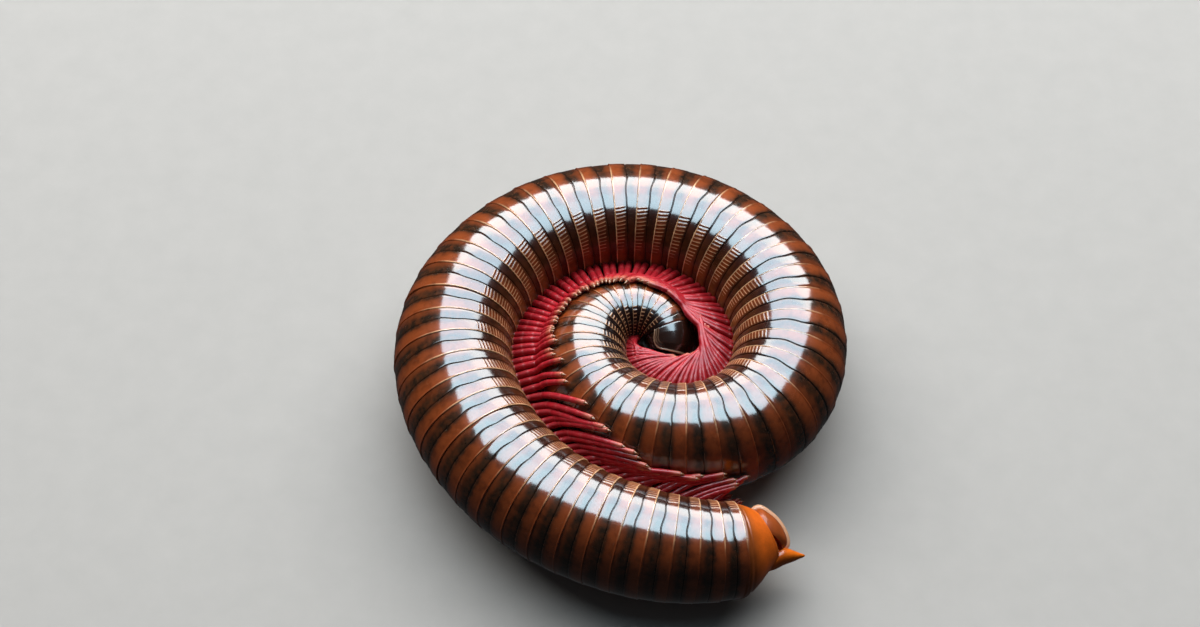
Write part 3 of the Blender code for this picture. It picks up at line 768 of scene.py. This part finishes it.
# Degrees by which a leg leans back towards the tail at its root and its tip, by the turn.
LEAN_TURN = (66, 90, 115, 130, 150, 175, 215, 260, 285, 305, 325, 350, 370, 385, 400, 450, 480,
             510)
LEAN_ROOT = (62, 60, 52, 42, 26, 5, 0, 2, 8, 14, 16, 18, 18, 16, 14, 12, 8, 0)
LEAN_TIP = (64, 68, 70, 62, 42, 10, 0, 6, 20, 34, 40, 44, 46, 42, 30, 22, 14, 2)
LEAN_SPREAD = (0.1, 0.7)
PODOMERES = (0.12, 0.17, 0.20, 0.17, 0.16, 0.18)
PODOMERE_SHAPE = ((0.05, 0.96), (0.18, 0.98), (0.5, 1.0), (0.80, 1.01), (0.93, 1.01), (1.0, 0.965))
JOINT_REACH = 0.12
CLAW_LEG_HALF = 0.32
CLAW_SHARES = (0.3, 0.6, 1.0)
CLAW_GIRTH = (0.8, 0.55, 0.32, 0.05)
CLAW_DROOP = 0.25
CLAW_SIDES = 6
CLAW_SINK = 0.05
OWN_BODY_REACH = 2.2
SETTLE_TRIES = 12
SETTLE_MARGIN = 0.003
SETTLE_SLACK = 0.05


class Obstacles:
    """What a leg lies clear of: the rest of the body, the collum and the head."""

    def __init__(self, own_clearance):
        self.clearance = own_clearance
        self.centres = np.zeros((0, 3))
        self.sizes = np.zeros(0)

    def add_balls(self, centres, size):
        centres = np.atleast_2d(centres)
        self.centres = np.vstack([self.centres, centres])
        self.sizes = np.concatenate([self.sizes, np.full(len(centres), size)])

    def settle(self, point, run, half):
        """Moves a leg's point out of everything, and says whether it got free."""
        away = np.abs(coil.runs - run) > OWN_BODY_REACH * coil.radius(run)
        centres = np.vstack([coil.axis[away], self.centres])
        sizes = np.concatenate([coil.radii[away], self.sizes]) + half + self.clearance
        p = np.array(point)
        for _ in range(SETTLE_TRIES):
            offset = p - centres
            distance = np.linalg.norm(offset, axis=1)
            depth = sizes - distance
            worst = int(np.argmax(depth))
            if depth[worst] <= 0.0:
                return p, True
            p = p + offset[worst] / distance[worst] * (depth[worst] + SETTLE_MARGIN)
        return p, depth[worst] < SETTLE_SLACK


def leg_path(run, upper, obstacles, length, half, legs):
    """Points of one leg, from inside its ring outward, bent clear of what it lies over."""
    sign = 1 if upper else -1
    angle = 180 - sign * (legs.root_angle + random.uniform(-ROOT_CHANGE, ROOT_CHANGE))
    root = coil.points(run, angle, LEG_ROOT_SCALE)
    normal = coil.direction(run, angle)
    _, tangent, back, side = coil.frame(run)
    turn = float(coil.turn_of(run))
    root_lean = float(np.interp(turn, LEAN_TURN, LEAN_ROOT))
    tip_lean = float(np.interp(turn, LEAN_TURN, LEAN_TIP))
    loose = 1 - float(smooth(turn, *LOOSE_TURNS))
    sway = random.uniform(-1, 1) * (LEG_SWAY + LOOSE_SWAY * loose)
    length *= float(np.interp(turn, REACH_TURN, REACH))
    length *= 1 - LOOSE_SHORTENING * loose * random.random()
    points = [root - normal * LEG_SINK, root]
    p = root
    travelled = 0.0
    while travelled < length:
        share = travelled / length
        lean = root_lean + (tip_lean - root_lean) * smooth(share, *LEAN_SPREAD)
        lean = math.radians(sway + lean)
        heading = -back * math.cos(lean) - tangent * math.sin(lean)
        fall = (LEG_FALL - LOOSE_LIFT * loose) * share
        step = heading + side * (sign * (LEG_RISE - fall))
        if travelled == 0.0:
            step = normal
        moved = p + step / np.linalg.norm(step) * LEG_STEP
        if travelled > 0.0:
            moved, free = obstacles.settle(moved, run, half)
            stalled = np.linalg.norm(moved - p) < STALLED_STEP
            if not free or stalled or moved[2] < half + LEG_REST:
                break
        p = moved
        points.append(p)
        travelled += LEG_STEP
    return points, travelled


def add_leg(shells, claws, path, half, wide, legs):
    """Six podomeres, each waisted at its joint, and a claw."""
    shares = [0.0]
    girths = [0.9]
    joints = [0.0]
    start = 0.0
    for size in PODOMERES:
        for t, girth in PODOMERE_SHAPE:
            shares.append(start + t * size)
            girths.append(girth)
            joints.append(max(0.0, 1 - abs(1 - t) / JOINT_REACH, 1 - t / JOINT_REACH))
        start += size
    shares = np.array(shares)
    centres = along_path(path, shares)
    radii = half * np.array(girths) * (1 - legs.taper * shares ** 1.5)
    rows = tube_rows(centres, radii, LEG_SIDES, wide)
    shells.loft(rows, {"along": shares[:, None], "joint": np.array(joints)[:, None]})
    along = unit(centres[-1] - centres[-3])
    down = np.array((0.0, 0.0, -1.0))
    reach = legs.claw / MM * half / CLAW_LEG_HALF
    claw_path = [centres[-1] - along * CLAW_SINK]
    for share in CLAW_SHARES:
        claw_path.append(centres[-1] + along * (reach * share)
                         + down * (CLAW_DROOP * reach * share ** 2))
    claws.loft(tube_rows(claw_path, radii[-1] * np.array(CLAW_GIRTH), CLAW_SIDES, wide))


def build_legs(number, first, last, edges, obstacles, legs, material, claws):
    """Legs of the rings from first to last: two pairs on most, one pair just behind the collum."""
    shells = Shells()
    count = len(edges) - 1
    for index in range(first, last):
        from_head = count - 1 - index
        if index < LEGLESS_TAIL_RINGS or from_head < LEGLESS_NECK_RINGS:
            continue
        places = (0.5,) if from_head < SINGLE_PAIR_RINGS else LEG_PLACES
        for place in places:
            run = edges[index] + place * (edges[index + 1] - edges[index])
            radius = float(coil.radius(run))
            half = radius * legs.thickness
            for upper in (True, False):
                length = 2 * radius * legs.length * random.uniform(*LENGTH_CHANGE)
                path, travelled = leg_path(run, upper, obstacles, length, half, legs)
                if travelled >= SHORTEST_LEG:
                    add_leg(shells, claws, path, half, coil.frame(run)[1], legs)
    shells.piece(f"legs_{number:02d}", material)


class BuildLegs(bpy.types.Operator):
    """Build the legs of the ten body lengths and their claws"""
    bl_idname = "millipede.legs"
    bl_label = "Legs"

    def execute(self, context):
        colours = context.scene.millipede_colours
        legs = context.scene.millipede_legs
        count = context.scene.millipede_rings.count
        random.seed(LEG_SEED)
        edges = ring_edges(count)
        obstacles = Obstacles(LEG_REST)
        obstacles.add_balls(collum_balls(), COLLUM_BALL)
        for at, _, _, half_width in HEAD_STATIONS:
            obstacles.add_balls(head_axis(at)[0], half_width)
        material = leg_finish(colours)
        claws = Shells()
        for number, first, last in body_lengths(count):
            build_legs(number, first, last, edges, obstacles, legs, material, claws)
        claws.piece("claws", plain_finish("claw horn", colours.claw, 0.25, 0.1))
        return {"FINISHED"}


# The collum and the head, in a frame that bends down towards the belly.

COLLUM_BALL = 1.1
COLLUM_ROWS = 56
COLLUM_SIDES = 220
COLLUM_LOBE = 124.0
COLLUM_CORNER = 1.3
COLLUM_SHARES = (0.0, 0.3, 0.72, 1.0)
COLLUM_SCALES = (1.0, 1.005, 0.98, 0.90)
COLLUM_RECESS = 0.6
# Distance from the collum's margin and half width of its rim, then strength and distance of the
# lines inside it.
RIM_PLACE = (0.07, 0.06)
INNER_LINES = ((0.7, 0.30), (0.5, 0.52))
INNER_LINE_HALF = 0.045
# Length from the head's rear, height of its crown and its chin, and half its width.
HEAD_STATIONS = ((0.0, 1.55, 1.45, 1.80), (0.8, 1.85, 1.60, 2.10), (1.7, 1.80, 1.50, 2.15),
                 (2.5, 1.50, 1.25, 1.85), (3.2, 1.05, 0.95, 1.40), (3.7, 0.55, 0.60, 0.85))
HEAD_BEND = 14.0
HEAD_STEP = 0.05
HEAD_ROWS = 44
HEAD_SIDES = 96
EYE_AT = 1.35
EYE_ANGLE = 52.0
EYE_HALF_SIZE = (0.62, 0.40)
# Lift and scale of the rows of an eye's pad.
EYE_PAD = ((-0.12, 1.05), (0.10, 1.0), (0.20, 0.85), (0.24, 0.5))
EYE_PAD_SIDES = 24
# Lift of the eyelets at the eye's edge, and how much higher those in its middle are.
EYE_LIFT = 0.10
EYE_BULGE = 0.14
EYE_ROUNDNESS = 0.55
EYELET_ROWS = 6
EYELETS_IN_ROW = 8
EYELET_START = (-0.52, -0.30)
EYELET_SPACING = (0.15, 0.12)
EYELET_STAGGER = 0.07
EYELET_FIELD = (0.60, 0.38)
EYELET_FIELD_EDGE = 0.92
EYELET_HALF = 0.070
EYELET_HEIGHT = 0.065
EYELET_TOP = 0.066
EYELET_SIDES = 10
# Shares of an eyelet's height at which its dome has a row.
EYELET_RISES = (-0.02, 0.35, 0.7, 0.92)
# Length from the head's rear, angle from its crown and scale of its girth.
ANTENNA_STATIONS = ((2.15, 70, 1.0), (2.3, 84, 1.28), (2.2, 104, 1.42), (1.9, 122, 1.45),
                    (1.4, 138, 1.50), (0.9, 148, 1.62))
ANTENNA_HALF = 0.2565
ANTENNA_ARTICLES = 7
ANTENNA_SIDES = 16
ANTENNA_SWELL = 0.12
ARTICLE_SHAPE = ((0.0, 0.62), (0.15, 0.72), (0.45, 0.85), (0.75, 1.0), (0.92, 0.92), (0.985, 0.60))
CONE_SPACING = 0.07
CONE_SIDES = 8
# Reach past the feeler's end and half width of the rows of a sensory cone.
CONE_ROWS = ((-0.05, 0.045), (0.06, 0.035), (0.12, 0.012))


def collum_balls():
    """Centres of balls that fill the collum's outer shell."""
    start = coil.run_of(NECK_END_TURN) + COLLUM_BALL
    end = coil.run_of(COLLUM_TURN)
    angles = np.arange(0, 360, 30.0)
    reach = 1.05 - COLLUM_BALL / float(coil.radius(start))
    return np.concatenate([coil.points(run, angles, reach) for run in (start, end)])


def head_axis(at):
    """Centre, forward, crown and side directions of the head, at a length from its rear."""
    rear = coil.run_of(COLLUM_TURN) - COLLUM_RECESS + NODE_GAP
    centre, tangent, back, side = coil.frame(rear)
    centre = centre.copy()
    travelled = 0.0
    while travelled < at:
        step = min(HEAD_STEP, at - travelled)
        bend = math.radians(HEAD_BEND * travelled)
        centre = centre + (tangent * math.cos(bend) - back * math.sin(bend)) * step
        travelled += step
    bend = math.radians(HEAD_BEND * at)
    forward = tangent * math.cos(bend) - back * math.sin(bend)
    crown = back * math.cos(bend) + tangent * math.sin(bend)
    return centre, forward, crown, side


def head_points(at, angle, scale=1.0):
    """Points on the head at a length from its rear and angles from the crown."""
    lengths = [station[0] for station in HEAD_STATIONS]
    crown_size, chin_size, half_width = (
        float(np.interp(at, lengths, [station[k] for station in HEAD_STATIONS])) for k in (1, 2, 3))
    centre, _, crown, side = head_axis(at)
    a = np.radians(np.asarray(angle, float))
    lift = np.where(np.cos(a) > 0, crown_size, chin_size) * np.cos(a) * scale
    reach = half_width * np.sin(a) * scale
    return centre + crown * lift[..., None] + side * reach[..., None]


def inside_margin(to_front, to_lobe):
    """Distance inside the collum's margin, which is round at the corners of its lobes."""
    past_front = np.maximum(COLLUM_CORNER - to_front, 0)
    past_lobe = np.maximum(COLLUM_CORNER - to_lobe, 0)
    straight = np.minimum(np.minimum(to_front, to_lobe), COLLUM_CORNER)
    rounded = COLLUM_CORNER - np.hypot(past_front, past_lobe)
    return np.where((past_front > 0) & (past_lobe > 0), rounded, straight)


def build_collum(material):
    """Saddle-shaped shield with rimmed side lobes, open over the belly."""
    start = coil.run_of(NECK_END_TURN)
    end = coil.run_of(COLLUM_TURN)
    angle = -180 + 360 * np.arange(COLLUM_SIDES) / COLLUM_SIDES
    away = np.abs(angle)
    radius = float(coil.radius(0.5 * (start + end)))
    length = end - start
    rows = []
    rims = []
    for row in range(COLLUM_ROWS):
        share = row / (COLLUM_ROWS - 1)
        to_front = (1 - share) * length
        inside = inside_margin(to_front, np.radians(COLLUM_LOBE - away) * radius)
        plate = smooth(inside, -0.03, 0.05)
        rim = bell(inside, *RIM_PLACE)
        lines = sum(strength * bell(inside, at, INNER_LINE_HALF) for strength, at in INNER_LINES)
        lines = lines * smooth(away, 95, 112) * smooth(to_front, 0.15, 0.9)
        rear = smooth(share * length, 0.0, 0.10)
        lift = 0.93 + 0.07 * plate + 0.022 * rim + 0.012 * lines - 0.02 * (1 - rear)
        base = float(np.interp(share, COLLUM_SHARES, COLLUM_SCALES))
        rows.append(coil.points(start + share * length, angle, base * lift))
        rims.append(np.clip(rim + 0.5 * lines, 0, 1))
    for behind_front, scale in ((0.02, 0.80), (COLLUM_RECESS, 0.72)):
        rows.append(coil.points(end - behind_front, angle, scale))
        rims.append(np.zeros(COLLUM_SIDES))
    shells = Shells()
    shells.loft(rows, {"rim": np.array(rims)})
    shells.piece("collum_shield", material, ["collum"])


def build_head(material):
    """Capsule with a groove down its face, bulging mandible bases and a notched lip."""
    angle = 360.0 * np.arange(HEAD_SIDES) / HEAD_SIDES
    away = np.minimum(angle, 360 - angle)
    length = HEAD_STATIONS[-1][0]
    rows = []
    for row in range(HEAD_ROWS):
        at = length * row / (HEAD_ROWS - 1)
        share = at / length
        cheeks = 0.10 * bell(away, 118, 20) * bell(share, 0.55, 0.25)
        seam = -0.05 * bell(away, 88, 5) * smooth(share, 0.1, 0.3)
        face = -0.03 * bell(away, 0, 5) * smooth(share, 0.2, 0.5)
        chin = -0.06 * bell(away, 180, 4) * smooth(share, 0.15, 0.4)
        plates = -0.045 * bell(away, 152, 4) * smooth(share, 0.15, 0.4)
        lip = 0.05 * bell(share, 0.93, 0.03) * smooth(away, 120, 60)
        scale = 0.985 + cheeks + seam + face + chin + plates + lip
        rows.append(head_points(at, angle, scale))
    centre, forward, _, _ = head_axis(length)
    rows.append(head_points(length, angle, 0.7) + forward * 0.10)
    shells = Shells()
    shells.loft(rows, {"rim": 0.0}, end=centre + forward * 0.12)
    shells.piece("head_capsule", material, ["head"])


def eye_frame(sign):
    """Middle of the right or left eye, and the directions ahead, across and out of it."""
    angle = sign * EYE_ANGLE
    seat = head_points(EYE_AT, angle)
    ahead = unit(head_points(EYE_AT + 0.3, angle) - head_points(EYE_AT - 0.3, angle))
    across = unit(head_points(EYE_AT, angle + 8) - head_points(EYE_AT, angle - 8))
    out = unit(np.cross(across, ahead))
    if np.dot(out, seat - head_axis(EYE_AT)[0]) < 0:
        out = -out
    return seat, ahead, across, out


def build_eye(name, node, sign, material):
    """Pad of small round eyelets in rows, narrowing towards the front."""
    seat, ahead, across, out = eye_frame(sign)

    def ring(centre, half_length, half_width, count):
        a = 2 * math.pi * np.arange(count) / count
        return (centre + ahead * (half_length * np.cos(a))[:, None]
                + across * (half_width * np.sin(a))[:, None])

    shells = Shells()
    half_length, half_width = EYE_HALF_SIZE
    shells.loft([ring(seat + out * lift, half_length * scale, half_width * scale, EYE_PAD_SIDES)
                 for lift, scale in EYE_PAD])
    for row in range(EYELET_ROWS):
        for k in range(EYELETS_IN_ROW):
            x = EYELET_START[0] + EYELET_SPACING[0] * k + EYELET_STAGGER * (row % 2)
            y = EYELET_START[1] + EYELET_SPACING[1] * row
            outward = (x / EYELET_FIELD[0]) ** 2 + (y / EYELET_FIELD[1]) ** 2
            if outward > EYELET_FIELD_EDGE:
                continue
            lift = EYE_LIFT + EYE_BULGE * (1 - EYE_ROUNDNESS * outward)
            centre = seat + ahead * x + across * y + out * lift
            dome = []
            for rise in EYELET_RISES:
                size = EYELET_HALF * math.sqrt(1 - max(rise, 0) ** 2)
                dome.append(ring(centre + out * (EYELET_HEIGHT * rise), size, size, EYELET_SIDES))
            shells.loft(dome, end=centre + out * EYELET_TOP)
    shells.piece(name, material, [node])


def build_antenna(name, node, sign, material):
    """Seven club-shaped articles folded back along the cheek, with sensory cones at the tip."""
    line = np.array([head_points(at, sign * angle, scale) for at, angle, scale in ANTENNA_STATIONS])
    line = np.concatenate([[line[0] * 1.4 - line[1] * 0.4], line])
    shares = []
    girths = []
    for k in range(ANTENNA_ARTICLES):
        swell = 1.0 + ANTENNA_SWELL * math.sin(math.pi * k / (ANTENNA_ARTICLES - 1))
        for t, girth in ARTICLE_SHAPE:
            shares.append((k + t) / ANTENNA_ARTICLES)
            girths.append(girth * swell)
    centres = along_path(line, shares)
    wide = head_axis(1.5)[1]
    shells = Shells()
    shells.loft(tube_rows(centres, ANTENNA_HALF * np.array(girths), ANTENNA_SIDES, wide))
    along = unit(centres[-1] - centres[-4])
    side = unit(np.cross(along, wide))
    for x in (CONE_SPACING, -CONE_SPACING):
        for y in (CONE_SPACING, -CONE_SPACING):
            base = centres[-1] + side * x + np.cross(side, along) * y
            cone = [base + along * reach for reach, _ in CONE_ROWS]
            shells.loft(tube_rows(cone, [half for _, half in CONE_ROWS], CONE_SIDES, side))
    shells.piece(name, material, [node])


class BuildHead(bpy.types.Operator):
    """Build the collum, head, eyes and antennae"""
    bl_idname = "millipede.head"
    bl_label = "Head"

    def execute(self, context):
        colours = context.scene.millipede_colours
        shield = shield_finish(colours)
        build_collum(shield)
        build_head(shield)
        eyelet = plain_finish("eyelet lens", colours.eyelet, 0.08, 0.2)
        build_eye("eyelets_right", "eye_right", 1, eyelet)
        build_eye("eyelets_left", "eye_left", -1, eyelet)
        feeler = plain_finish("feeler cuticle", colours.feeler, 0.3, 0.12)
        build_antenna("feeler_right", "antenna_right", 1, feeler)
        build_antenna("feeler_left", "antenna_left", -1, feeler)
        return {"FINISHED"}


# The tail end.

# Lengths behind the trunk are along the axis, and lifts are towards the back.
TAIL_ROLL = 25.0
TELSON_LENGTH = 2.65
TELSON_SLANT = 0.237
# Share of the last ring's length, and its scale at the back and at the belly.
TELSON_STATIONS = ((0.0, 1.0, 1.0), (0.35, 0.82, 0.97), (0.7, 0.60, 0.92), (1.0, 0.44, 0.86))
TELSON_SIDES = 160
TELSON_ROWS = 30
TELSON_INSET = 0.012
# Depth, share of the length and half width of the grooves round the last ring.
TELSON_GROOVES = ((0.016, 0.10, 0.035), (0.010, 0.93, 0.03))
TELSON_BROWN_SHARE = 0.55
TELSON_TUCK = ((-0.13, 0.06), (-0.05, 0.03))
TELSON_FOLD = ((1.02, 0.035), (1.015, 0.07), (0.94, 0.10), (0.70, 0.16))
SPINE_AT = 3.1
# Length behind the spine's root, half its width and its lift.
SPINE_STATIONS = ((-1.9, 1.5, 1.5), (-0.4, 1.30, 1.62), (0.6, 1.25, 1.45), (1.5, 0.86, 1.66),
                  (2.3, 0.40, 1.88), (2.75, 0.14, 1.99))
SPINE_TIP = (2.85, 2.0)
SPINE_FLATNESS = 0.72
SPINE_SIDES = 32
SPINE_ROWS = 24
# Lengths behind the spine's root between which it takes its own colour.
SPINE_REDDENING = (-1.2, 1.6)
# Length behind the trunk and lift of a valve's free edge, from the belly to the back.
VALVE_OUTLINE = ((2.0, -3.15), (2.75, -3.3), (3.45, -2.75), (4.0, -2.0), (4.35, -1.2),
                 (4.5, -0.35), (4.4, 0.55), (3.8, 1.05))
VALVE_HEIGHT = 2.5
VALVE_BASE = 0.6
VALVE_GAP = 0.10
VALVE_ARC = 56
VALVE_LAYERS = 24
# Degrees up a valve's dome: of its last row, and where its pale rim ends.
VALVE_TOP = 86.0
VALVE_RIM = (4.0, 12.0)
LIP_HALF = 0.42
LIP_OUT = 0.20
LIP_END_SHARE = 0.45
LIP_SIDES = 16


def tail_frame(behind):
    """Centre, tangent, rolled back and side, and radius at a length behind the trunk."""
    run = coil.run_of(TAIL_TURN) - NODE_GAP / 2 - np.asarray(behind, float)
    centre, tangent, back, side = coil.frame(run)
    roll = math.radians(TAIL_ROLL)
    return (centre, tangent, back * math.cos(roll) - side * math.sin(roll),
            side * math.cos(roll) + back * math.sin(roll), coil.radius(run))


def telson_points(share, angle, inset):
    """Points of the last ring at a share of its length. It is longer and lower at the back."""
    shares = [station[0] for station in TELSON_STATIONS]
    back_scale = spline(shares, [station[1] for station in TELSON_STATIONS])(min(share, 1.0))
    belly_scale = spline(shares, [station[2] for station in TELSON_STATIONS])(min(share, 1.0))
    _, back_end, belly_end = TELSON_STATIONS[-1]
    facing = np.cos(np.radians(angle))
    to_back = 0.5 * (1 + facing)
    end_scale = back_end * to_back + belly_end * (1 - to_back)
    reach = tail_frame(TELSON_LENGTH)[4] * end_scale * facing
    centre, _, back, side, radius = tail_frame(share * (TELSON_LENGTH + TELSON_SLANT * reach))
    scale = back_scale * to_back + belly_scale * (1 - to_back) - inset
    scale = scale * (1 - VENTRAL_FLATNESS * np.maximum(0.0, -facing) ** 3)
    across = back * facing[:, None] + side * np.sin(np.radians(angle))[:, None]
    found = centre + across * (radius * scale)[:, None]
    found[:, 2] = np.maximum(found[:, 2], 0.0)
    return found


def build_telson(material):
    """Last ring, longer and lower at its back, with its spine."""
    shells = Shells()
    angle = 360.0 * np.arange(TELSON_SIDES) / TELSON_SIDES
    rows = [telson_points(share, angle, inset) for share, inset in TELSON_TUCK]
    fore = [1.0] * len(rows)
    for share in np.linspace(0.0, 1.0, TELSON_ROWS):
        groove = sum(depth * bell(share, at, half) for depth, at, half in TELSON_GROOVES)
        rows.append(telson_points(share, angle, TELSON_INSET + groove))
        fore.append(float(1 - smooth(share, 0.0, TELSON_BROWN_SHARE)))
    for share, inset in TELSON_FOLD:
        rows.append(telson_points(share, angle, inset))
        fore.append(0.0)
    shells.loft(rows, {"fore": np.array(fore)[:, None], "spine": 0.0})
    centre, tangent, back, side, _ = tail_frame(SPINE_AT)
    a = 2 * math.pi * np.arange(SPINE_SIDES) / SPINE_SIDES
    stations = np.array(SPINE_STATIONS)
    spine = []
    redness = []
    for behind in np.linspace(stations[0, 0], stations[-1, 0], SPINE_ROWS):
        size, lift = (np.interp(behind, stations[:, 0], stations[:, k]) for k in (1, 2))
        middle = centre + back * lift - tangent * behind
        spine.append(middle + back * (size * SPINE_FLATNESS * np.cos(a))[:, None]
                     + side * (size * np.sin(a))[:, None])
        redness.append(smooth(behind, *SPINE_REDDENING))
    tip = centre + back * SPINE_TIP[1] - tangent * SPINE_TIP[0]
    shells.loft(spine, {"fore": 0.0, "spine": np.array(redness)[:, None]}, end=tip)
    shells.piece("last_ring", material, ["telson"])


def build_valve(name, node, sign, material):
    """Half dome behind the last ring, on one side of the middle plane, with a thick lip."""
    shells = Shells()
    shares = np.linspace(0, 1, VALVE_ARC)
    stations = np.linspace(0, 1, len(VALVE_OUTLINE))
    behind, lift = (spline(stations, [point[k] for point in VALVE_OUTLINE])(shares)
                    for k in (0, 1))
    middle = 0.5 * (lift[0] + lift[-1])
    base = 0.5 * (behind[0] + behind[-1]) - VALVE_BASE
    rows = []
    rim = []
    for layer in np.linspace(0.0, VALVE_TOP, VALVE_LAYERS):
        shrink = math.cos(math.radians(layer))
        rise = VALVE_GAP + VALVE_HEIGHT * math.sin(math.radians(layer))
        centre, _, back, side, _ = tail_frame(base + (behind - base) * shrink)
        rows.append(centre + back * (middle + (lift - middle) * shrink)[:, None]
                    + side * (sign * rise))
        rim.append(float(1 - smooth(layer, *VALVE_RIM)))
    shells.loft(rows, {"rim": np.array(rim)[:, None]})
    centre, _, back, side, _ = tail_frame(behind)
    lip = centre + back * lift[:, None] + side * (sign * LIP_OUT)
    radii = LIP_HALF * (LIP_END_SHARE + (1 - LIP_END_SHARE) * np.sin(np.pi * shares) ** 0.4)
    shells.loft(tube_rows(lip, radii, LIP_SIDES, side[0]), {"rim": 1.0})
    shells.piece(name, material, [node])


class BuildTail(bpy.types.Operator):
    """Build the last ring with its spine, and the anal valves"""
    bl_idname = "millipede.tail"
    bl_label = "Tail"

    def execute(self, context):
        colours = context.scene.millipede_colours
        build_telson(tail_finish(colours))
        valve = valve_finish(colours)
        build_valve("valve_right", "anal_valve_right", 1, valve)
        build_valve("valve_left", "anal_valve_left", -1, valve)
        return {"FINISHED"}


# The stage.

CAMERA_FROM_POLE = (-3.291, -144.927, 211.815)
SENSOR_WIDTH = 36.0
FLOOR_DROP = 0.02
# Sizes and distances of the stage are in metres, and its angles are in degrees.
FLOOR_SIZE = 2.0
NEAREST_SEEN = 0.01
EVEN_LIGHT = (0.90, 0.95, 1.0)
FILL = {"elevation": 47.0, "azimuth": -4.0, "distance": 0.55, "size": (1.3, 0.4),
        "colour": (1.0, 0.98, 0.95)}
SOFTBOX_DISTANCE = 0.36
SOFTBOX_WIDTH = 0.42
SOFTBOX_AZIMUTH = 9.0
# Elevation of each softbox, half its height in degrees, its brightness and its colour.
SOFTBOXES = {"softbox_low": (38.0, 11.0, 0.86, (0.87, 0.92, 0.94)),
             "softbox_middle": (58.0, 9.0, 0.75, (0.68, 0.855, 1.0)),
             "softbox_high": (82.0, 15.0, 0.86, (0.65, 0.875, 1.0))}


class BuildStage(bpy.types.Operator):
    """Set the floor, the softboxes, the even light and the camera"""
    bl_idname = "millipede.stage"
    bl_label = "Stage"

    def softbox(self, name, power, elevation, azimuth, distance, size, colour):
        """Rectangular light that faces the animal from an elevation and azimuth."""
        light = bpy.data.lights.new(name, "AREA")
        light.shape = "RECTANGLE"
        light.size, light.size_y = size
        light.energy = power
        light.color = colour
        lamp = bpy.data.objects.new(name, light)
        e = math.radians(elevation)
        a = math.radians(azimuth)
        lamp.location = (distance * math.cos(e) * math.sin(a),
                         distance * math.cos(e) * math.cos(a), distance * math.sin(e))
        lamp.rotation_euler = (math.radians(elevation - 90), 0, -a)
        bpy.context.scene.collection.objects.link(lamp)
        return lamp

    def lay_floor(self, context):
        """Pale floor, kept out of the animal's reflections and off its colours."""
        bpy.ops.mesh.primitive_plane_add(size=FLOOR_SIZE, location=(0, 0, -FLOOR_DROP * MM))
        floor = context.object
        floor.name = "floor"
        s = Shader("floor paper")
        colour = s.scale(context.scene.millipede_colours.floor, 0.94 + 0.12 * s.noise(3.0, 4.0))
        floor.data.materials.append(s.finish(colour=colour, roughness=0.85, ior=1.45))
        floor.visible_glossy = False
        floor.visible_diffuse = False

    def hang_lights(self, context):
        """Softboxes for the long highlight, a wide fill light for the colours and an even one."""
        stage = context.scene.millipede_stage
        for name, (elevation, half, brightness, colour) in SOFTBOXES.items():
            size = (SOFTBOX_WIDTH, 2 * SOFTBOX_DISTANCE * math.tan(math.radians(half)))
            power = math.pi * size[0] * size[1] * stage.gloss * brightness
            lamp = self.softbox(name, power, elevation, SOFTBOX_AZIMUTH, SOFTBOX_DISTANCE, size,
                                colour)
            lamp.visible_diffuse = False
        lamp = self.softbox("softbox_fill", stage.fill, **FILL)
        lamp.visible_glossy = False
        world = bpy.data.worlds.new("even light")
        world.use_nodes = True
        back = world.node_tree.nodes["Background"]
        back.inputs["Color"].default_value = (*EVEN_LIGHT, 1.0)
        back.inputs["Strength"].default_value = stage.ambient
        context.scene.world = world

    def set_camera(self, context):
        """Camera at the photograph's viewing angle."""
        stage = context.scene.millipede_stage
        camera = bpy.data.objects.new("camera", bpy.data.cameras.new("camera"))
        camera.data.lens = stage.lens
        camera.data.sensor_width = SENSOR_WIDTH
        camera.data.clip_start = NEAREST_SEEN
        x, y, z = CAMERA_FROM_POLE
        camera.location = ((POLE[0] + x) * MM, (POLE[1] + y) * MM, z * MM)
        camera.rotation_euler = (math.radians(90 - stage.elevation), 0, 0)
        context.scene.collection.objects.link(camera)
        context.scene.camera = camera

    def execute(self, context):
        self.lay_floor(context)
        self.hang_lights(context)
        self.set_camera(context)
        context.scene.view_settings.view_transform = "Standard"
        return {"FINISHED"}


class MillipedePanel(bpy.types.Panel):
    """Lists the steps that build the millipede"""
    bl_idname = "MILLIPEDE_PT_build"
    bl_label = "Millipede"
    bl_space_type = "VIEW_3D"
    bl_region_type = "UI"
    bl_category = "Millipede"

    def draw(self, context):
        for operator in OPERATORS:
            self.layout.operator(operator.bl_idname)
        for group in GROUPS:
            settings = getattr(context.scene, group)
            box = self.layout.box()
            for name in settings.bl_rna.properties.keys():
                if name not in ("rna_type", "name"):
                    box.prop(settings, name)


GROUPS = {"millipede_colours": MillipedeColours, "millipede_rings": MillipedeRings,
          "millipede_legs": MillipedeLegs, "millipede_stage": MillipedeStage}
OPERATORS = (BuildRings, BuildLegs, BuildHead, BuildTail, BuildStage)
CLASSES = (*GROUPS.values(), *OPERATORS, MillipedePanel)


def register():
    for kind in CLASSES:
        bpy.utils.register_class(kind)
    for name, group in GROUPS.items():
        setattr(bpy.types.Scene, name, PointerProperty(type=group))


def unregister():
    for name in GROUPS:
        delattr(bpy.types.Scene, name)
    for kind in reversed(CLASSES):
        bpy.utils.unregister_class(kind)


def main():
    register()
    bpy.ops.millipede.rings()
    bpy.ops.millipede.legs()
    bpy.ops.millipede.head()
    bpy.ops.millipede.tail()
    bpy.ops.millipede.stage()


if __name__ == "__main__":
    main()
